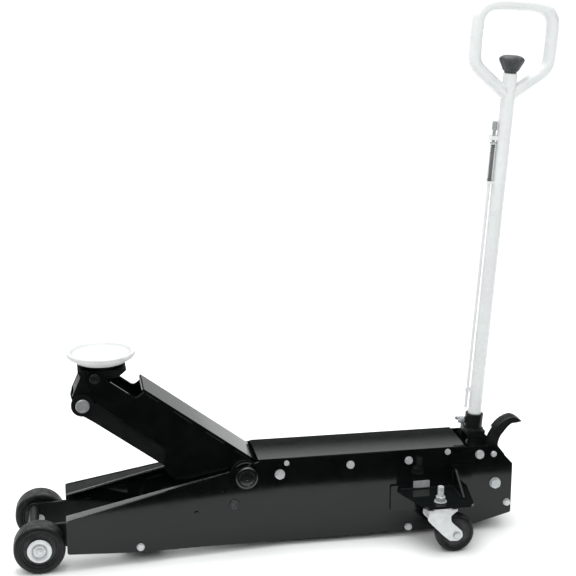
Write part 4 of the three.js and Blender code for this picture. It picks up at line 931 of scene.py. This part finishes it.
# ------------------------------------------------------------------ casters
for s, side in ((-1, "right"), (1, "left")):
    g = Geo("black", "weld")
    yi = HALF_REAR + GAP
    yp = yi + 6
    Y = lambda v: s * v
    shelf = rnd([(912, yp - 1), (954, 194), (962, 201), (1074, 201), (1082, 192), (1100, yp - 1)], [0, 6, 6, 6, 6, 0])
    g.prism([(x, Y(v)) for x, v in shelf], SHELF - 6, SHELF, "z", [circ(CAST_X, s * CAST_Y, 8.3, 28)])
    g.prism(rnd([(896, 76), (1112, 76), (1112, 192), (1052, 192), (1052, 146), (896, 146)], [5, 5, 6, 5, 5, 5]), *sorted((Y(yp), Y(yi))))
    g.prism([(Y(a), b) for a, b in rnd([(yp - 1, SHELF - 1), (yp - 1, 186), (92, 186), (166, SHELF + 4), (166, SHELF - 1)], [0, 0, 6, 3, 0])], 1062, 1067, "x")
    g.use("weld")
    g.bead([(x, Y(yp + 0.8), SHELF + 0.8) for x in range(920, 1092, 4)], 2.6, 3 + s)
    g.bead([(1061.2, Y(yp + (160 - yp) * t), SHELF + 0.6) for t in [0.05 + 0.06 * k for k in range(15)]], 2.0, 6 + s)
    g.bead([(1061.2, Y(yp + 0.6), z) for z in range(140, 184, 4)], 2.0, 8 + s)
    g.done("caster_bracket_" + side, "chassis", "gloss_black_paint", ("caster_bracket_" + side,), 0.8, 3)

    g = Geo("zinc")
    c_ = (CAST_X, s * CAST_Y, 0)
    g.lathe([(0, 113), (7.2, 113), (8, 114), (8, 158)] + [pt for k in range(9) for pt in ((8.0, 158.4 + 1.9 * k), (7.3, 159.3 + 1.9 * k))] + [(8, 175), (7.2, 176), (0, 176)], c_, "z", 32)
    g.lathe([(0, SHELF + 0.3), (15.4, SHELF + 0.3), (16, SHELF + 0.9), (16, SHELF + 2.6), (15.4, SHELF + 3.2), (0, SHELF + 3.2)], c_, "z", 44)
    g.hexa(13, SHELF + 3.0, SHELF + 16, c_, "z", 1, 0.4)
    g.lathe([(0, 112.6), (12, 112.6), (13, 113.4), (13, 116.6), (0, 117)], c_, "z", 36)
    g.done("caster_king_bolt_" + side, "chassis", "zinc_fasteners", ("caster_king_bolt_" + side,), 0.0, 1, 30)

    g = Geo("zinc_light", "zinc")
    leg = rnd([(966, 118), (962, 96), (1000, 56), (1022, 36), (1044, 35), (1055, 46), (1053, 60), (1024, 88), (1022, 104), (1040, 118)], [0, 10, 14, 10, 10, 9, 12, 14, 10, 0])
    for lo, hi in ((20.5, 25), (-25, -20.5)):
        g.prism(leg, s * CAST_Y + lo, s * CAST_Y + hi, "y", [circ(CAX, CW_R, 6.3, 24)])
    g.prism(rnd([(964, s * CAST_Y - 25), (1040, s * CAST_Y - 25), (1040, s * CAST_Y + 25), (964, s * CAST_Y + 25)], 4), 117.4, 121.5, "z")
    g.lathe([(8.5, 121), (30, 121), (32.4, 122), (33, 123.2), (33, 124.2), (31.6, 124.9), (33, 125.6), (33, 126.4), (32, 127.4), (22, 127.4), (20, 126.6), (8.5, 126.6), (8.5, 121)], c_, "z", 60)
    g.done("caster_fork_" + side, "caster_" + side, "zinc_fasteners", ("caster_fork_" + side,), 0.8, 3)

    g = Geo("rubber", "hub", "steel")
    cc = (CAX, s * CAST_Y, CW_R)
    q = CW_W / 2
    g.lathe([(36, -q + 2.6), (38, -q + 0.6), (41, -q), (44, -q + 0.3), (47.4, -q + 3.2), (49.2, -q + 7.0), (49.9, -q + 11), (50, 0), (49.9, q - 11), (49.2, q - 7.0), (47.4, q - 3.2), (44, q - 0.3), (41, q), (38, q - 0.6), (36, q - 2.6), (36, -q + 2.6)], cc, "y", 84)
    g.use("hub")
    g.lathe([(6.8, -q - 1.2), (13, -q - 1.2), (14, -q - 0.4), (14.6, -q + 3), (18, -q + 5.2), (32, -q + 5.2), (35, -q + 2.4), (36.6, -q + 1.8), (36.6, q - 1.8), (35, q - 2.4), (32, q - 5.2), (18, q - 5.2), (14.6, q - 3), (14, q + 0.4), (13, q + 1.2), (6.8, q + 1.2), (6.8, -q - 1.2)], cc, "y", 60)
    g.done("caster_wheel_" + side, "caster_wheel_" + side, "wheel_rubber", ("caster_wheel_" + side,), 0.0, 1, 38)

    g = Geo("zinc")
    g.lathe([(0, -25.8), (6, -25.8), (6, 25.8), (0, 25.8)], cc, "y", 28)
    g.lathe([(0, 25.3), (10, 25.3), (10, 26.4), (9.6, 26.8), (0, 26.8)], cc, "y", 32)
    g.lathe([(0, 25.3), (10, 25.3), (10, 26.4), (9.6, 26.8), (0, 26.8)], cc, "y", 32, -1)
    g.hexa(9.6, 26.7, 32, cc, "y", -1 if s < 0 else 1, 0.2)
    g.hexa(9.6, 26.7, 30.6, cc, "y", 1 if s < 0 else -1, 0.5)
    g.lathe([(0, 30), (5.6, 30), (5.6, 31.4), (5, 32), (0, 32)], cc, "y", 24, 1 if s < 0 else -1)
    g.done("caster_axle_" + side, "caster_" + side, "zinc_fasteners", ("caster_axle_" + side,), 0.0, 1, 30)

# blank data plate riveted to the backing plate above the near shelf
g = Geo("plate", "zinc")
g.prism(rnd([(955, 137), (999, 137), (999, 156), (955, 156)], 2.5), -79.9, -78.4)
for xx, zz in ((959, 141.5), (995, 141.5)):
    g.use("zinc")
    g.lathe([(0, 0), (1.9, 0), (1.5, 0.7), (0.7, 1.1), (0, 1.2)], (xx, -79.8, zz), "y", 20, -1)
g.done("blank_data_plate", "chassis", "zinc_fasteners", (), 0.3, 2)

# ------------------------------------------------------------------ handle socket and clamp screw
g = Geo("black2", "weld")
g.M = LEAN_M
ck = rnd([(-20, 40), (-20, -2), (-14, -14), (0, -18), (14, -14), (24, 0), (30, 12), (26, 40)], [4, 8, 8, 10, 8, 6, 6, 4])
for lo, hi in ((24, 34), (-34, -24)):
    g.prism(ck, lo, hi, "y", [circ(0, 0, 8.3, 28)])
br = [(-24, 36), (24, 36), (24, 50), (-24, 50)]
g.prism([(x, y) for x, y in rnd([(-24, -34), (24, -34), (24, 34), (-24, 34)], 5)], 36, 50, "z", [circ(0, 0, 9.5, 36)])
g.lathe([(17.8, 46), (22.6, 46), (23.5, 47), (23.5, 88.4), (22.2, 90), (18.6, 90), (17.8, 89.2), (17.8, 46)], (0, 0, 0), "z", 64)
g.lathe([(0, -30), (6.4, -30), (7, -29.4), (7, 29.4), (6.4, 30), (0, 30)], (20.6, 0, 12.4), "y", 36)
g.lathe([(5.3, 21.5), (8.5, 21.5), (8.5, 26.5), (7.8, 27.2), (5.3, 27.2), (5.3, 21.5)], (0, 0, 70), "x", 28, -1)
g.use("weld")
g.bead([(24.6 * math.cos(b), 24.6 * math.sin(b), 50.6) for b in [2 * math.pi * k / 60 for k in range(61)]], 2.0, 2)
for s in (1, -1):
    g.bead([(x, s * 33.7, 38) for x in range(-16, 22, 3)], 1.2, 4 + s)
g.done("handle_socket", "handle", "frame_black_paint", ("handle_socket",), 0.8, 3)

g = Geo("steel", "black2")
g.M = LEAN_M
g.lathe([(0, 17.8), (4.2, 17.8), (5, 18.6), (5, 30), (0, 30)], (0, 0, 70), "x", 28, -1)
g.lathe([(0, 27.6), (8, 27.6), (9, 28.4), (9, 38.6), (7.4, 40), (0, 40)], (0, 0, 70), "x", 36, -1)
wing = []
for k in range(41):
    a = 2 * math.pi * k / 40
    yy = 16.2 * math.cos(a)
    lobe = 3.2 + 5.0 * abs(math.sin(a)) ** 0.8
    xx = -41.5 - (2.2 * (abs(yy) / 17) ** 1.5)
    wing.append((yy, xx + (6.2 if math.sin(a) > 0 else -6.2) * min(1, abs(math.sin(a)) * 1.5)))
g.prism([(x, y) for y, x in rnd([(-17, -45), (-12, -48), (-4, -42.5), (4, -42.5), (12, -48), (17, -45), (16, -38), (8, -35.6), (-8, -35.6), (-16, -38)], 3, 5)], 66.6, 73.4, "z")
g.done("handle_clamp_screw", "clamp", "pin_steel", ("handle_clamp_screw",), 1.2, 3)

# ------------------------------------------------------------------ handle
zj, zs, hw, zb, zt, cc_ = 928, 978, 96.84, 1004, 1145, 50
P_ = [(6, zj - 2), (30, zj + 16), (56, zj + 36), (82, zj + 57), (94, zj + 76), (hw, zb + 24), (hw, zt - cc_), (hw - 4, zt - cc_ * 0.55), (hw - 20, zt - cc_ * 0.18), (hw - cc_, zt), (0, zt + 1)]
P_ = P_ + [(-x, z) for x, z in reversed(P_[:-1])]


def catmull(pts, per=10):
    out = []
    E = [(2 * pts[0][0] - pts[1][0], 2 * pts[0][1] - pts[1][1])] + list(pts) + [(2 * pts[-1][0] - pts[-2][0], 2 * pts[-1][1] - pts[-2][1])]
    for i in range(1, len(E) - 2):
        p0, p1, p2, p3 = E[i - 1:i + 3]
        for k in range(per):
            t = k / per
            out.append(tuple(0.5 * ((2 * p1[j]) + (-p0[j] + p2[j]) * t + (2 * p0[j] - 5 * p1[j] + 4 * p2[j] - p3[j]) * t * t + (-p0[j] + 3 * p1[j] - 3 * p2[j] + p3[j]) * t ** 3) for j in (0, 1)))
    out.append(tuple(pts[-1]))
    return out


g = Geo("white", "weldw", "recess_shade")
g.M = LEAN_M
lp = catmull(P_, 9)
g.tube([(x, 0, z) for x, z in lp], 15.5, 32)
g.lathe([(12, 50.4), (17.0, 50.4), (17.5, 51), (17.5, zs - 1.5), (16.4, zs), (12.6, zs), (12, zs - 0.6), (12, 50.4)], (0, 0, 0), "z", 56)
for x0_, x1_, y_, z0_, z1_ in ((-38, -12, 8, 812, 822), (-33, -12, 7, 700, 707), (-33, -12, 7, 150, 157)):
    g.prism(rnd([(x0_, -y_), (x1_, -y_), (x1_, y_), (x0_, y_)], [5, 0, 0, 5], 6), z0_, z1_, "z", [circ(-26, 0, 4.3, 24)])
g.use("weldw")
for s in (1, -1):
    # weld round the neck where each end of the loop meets the tube
    pts = []
    for k in range(41):
        a = 2 * math.pi * k / 40
        c0 = Vector((s * 17.0, 0, zj + 8))
        d0 = Vector((s * 0.80, 0, 0.60)).normalized()
        u0 = Vector((0, 1, 0))
        w0 = d0.cross(u0)
        p = c0 + (u0 * math.cos(a) * 15.2 + w0 * math.sin(a) * 16.6)
        r_ = math.hypot(p.x, p.y)
        t_ = 17.6
        if abs(p.y) < t_:
            p.x = s * math.sqrt(max(0.0, t_ * t_ - p.y * p.y))
        pts.append(p)
    g.bead(pts, 2.4, 5 + s)
for z0_ in (811.4, 822.6, 707.6, 157.6):
    g.bead([(-16.6 + abs(y) * 0.10 - 1.0, y, z0_) for y in range(-7, 8, 1)], 1.6, int(z0_) % 7)
g.done("handle", "handle", "handle_white_paint", ("handle",), 0.7, 2)

g = Geo("white", "plastic", "zinc", "steel")
g.M = LEAN_M
g.lathe([(0, 104), (3.2, 104), (4, 105), (4, 703), (3.98, 703), (0, 703)], (-26, 0, 0), "z", 28)
g.use("steel")
g.lathe([(0, 703), (4, 703), (4, 835.6), (5.6, 835.6), (6.5, 836.6), (6.5, 856.6), (5.4, 858), (0, 858)], (-26, 0, 0), "z", 28)
g.use("zinc")
g.lathe([(4, 800), (7.4, 800), (8, 800.6), (8, 805.4), (7.4, 806), (4, 806), (4, 800)], (-26, 0, 0), "z", 32)
g.done("lock_rod", "lock", "pin_steel", ("lock_rod",), 0.0, 1, 30)
g = Geo("spring")
g.M = LEAN_M
g.helix((-26, 0, 708), (0, 0, 1), 5.9, 1.1, 91, 17)
o_ = g.done("lock_rod_spring", "handle", "spring_steel", ("lock_rod_spring",), 0.0, 1, 60)
math.sin(rad(LEAN))
math.cos(rad(LEAN))
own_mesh(o_)

g = Geo("plastic", "zinc")
g.M = LEAN_M
fl_ = lambda a, h: 1 - (0.055 * (0.5 + 0.5 * math.cos(9 * a)) ** 3 if zs + 12 < h < zs + 41 else 0)
kp = [(5.3, zs + 1), (15, zs + 1), (15.6, zs + 2), (15.6, zs + 5), (18.6, zs + 6.4), (20.4, zs + 9), (23, zs + 14), (26.4, zs + 21), (30.2, zs + 28), (31.6, zs + 32), (31.8, zs + 35.4), (30, zs + 38.4), (26, zs + 41), (20, zs + 43.6), (14, zs + 44.6), (0, zs + 44.9)]
dense = []
for (r0, h0), (r1, h1) in zip(kp, kp[1:]):
    for k in range(2):
        dense.append((r0 + (r1 - r0) * k / 2, h0 + (h1 - h0) * k / 2))
dense.append(kp[-1])
g.lathe(dense + [], (0, 0, 0), "z", 108, 1, fl_)
g.done("release_knob", "release_control", "knob_plastic", ("release_knob",), 0.0, 1, 50)
g = Geo("steel")
g.M = LEAN_M
g.lathe([(0, 6), (7, 6), (8, 7), (8, 19), (7, 20), (5, 20.4), (5, zs + 19.6), (0, zs + 20)], (0, 0, 0), "z", 28)
g.done("release_rod", "release_control", "pin_steel", ("release_rod",), 0.0, 1, 30)
g = Geo("steel")
g.lathe([(0, 118), (5, 118), (6, 119), (6, 192), (7, 192.6), (7, 207), (6, 208), (0, 208)], (HPIV[0], 0, 0), "z", 32)
g.done("release_valve_stem", "valve", "pin_steel", ("release_valve_stem",), 0.0, 1, 30)
for side, s in (("left", 1), ("right", -1)):
    g = Geo("zinc")
    o = HALF_REAR + GAP
    g.lathe([(0, 22), (7, 22), (8, 23), (8, o + 0.5), (0, o + 0.5)], (HPIV[0], 0, HPIV[1]), "y", 32, s)
    head(g, HPIV[0], s * o, HPIV[1], 12, 8, s, True, 0.3)
    g.done("handle_pivot_bolt_" + side, "chassis", "zinc_fasteners", ("handle_pivot_bolt_" + side,), 0.0, 1, 30)

# ------------------------------------------------------------------ foot pedal
g = Geo("black2", "rubber")
outer = [(1160, 212), (1160, 236), (1164, 254), (1176, 276), (1190, 292), (1206, 303), (1222, 308), (1236, 305), (1249, 296)]
inner = [(1236, 293), (1220, 291), (1207, 279), (1197, 262), (1190, 246), (1188, 232), (1194, 222), (1207, 206), (1205, 192), (1193, 192), (1182, 202), (1168, 203)]
sm = catmull(outer, 5) + catmull(inner[:8], 5) + [(1207, 206), (1205.6, 196), (1204, 192.2), (1194, 192.2), (1188, 197), (1182, 202), (1174, 203), (1168, 203.2), (1163, 206)]
g.prism(sm, -58, -38, "y", [circ(1172, 214, 5.3, 24)])
pad = catmull([(1176, 276), (1190, 292), (1206, 303), (1222, 308), (1236, 305), (1249, 296)], 5) + catmull([(1236, 293), (1220, 291), (1207, 279), (1194, 262)], 5)
g.prism(pad, -64, -28)
# grip ribs across the pad
for x, z, a in ((1192, 293.0, 42), (1200, 299.0, 34), (1208.5, 303.4, 22), (1217, 306.4, 12), (1226, 307.2, -2)):
    nx, nz = -math.sin(rad(a)), math.cos(rad(a))
    tx, tz = math.cos(rad(a)), math.sin(rad(a))
    q = [(x - tx * 1.6 - nx, z - tz * 1.6 - nz), (x + tx * 1.6 - nx, z + tz * 1.6 - nz), (x + tx * 1.0 + nx * 0.7, z + tz * 1.0 + nz * 0.7), (x - tx * 1.0 + nx * 0.7, z - tz * 1.0 + nz * 0.7)]
    g.prism(q, -62, -30)
g.done("foot_pedal", "foot_pedal", "gloss_black_paint", ("foot_pedal",), 0.8, 2)
g = Geo("zinc")
g.lathe([(0, -74), (5, -74), (5, -36), (0, -36)], (1172, 0, 214), "y", 28)
g.lathe([(0, 72.3), (7.4, 72.3), (8, 72.9), (8, 75.6), (6.8, 77), (0, 77)], (1172, 0, 214), "y", 32, -1)
g.lathe([(0, 35.5), (7.4, 35.5), (8, 36.0), (8, 37.2), (7.4, 37.6), (0, 37.6)], (1172, 0, 214), "y", 32, -1)
g.done("foot_pedal_pin", "chassis", "zinc_fasteners", ("foot_pedal_pin",), 0.0, 1, 30)
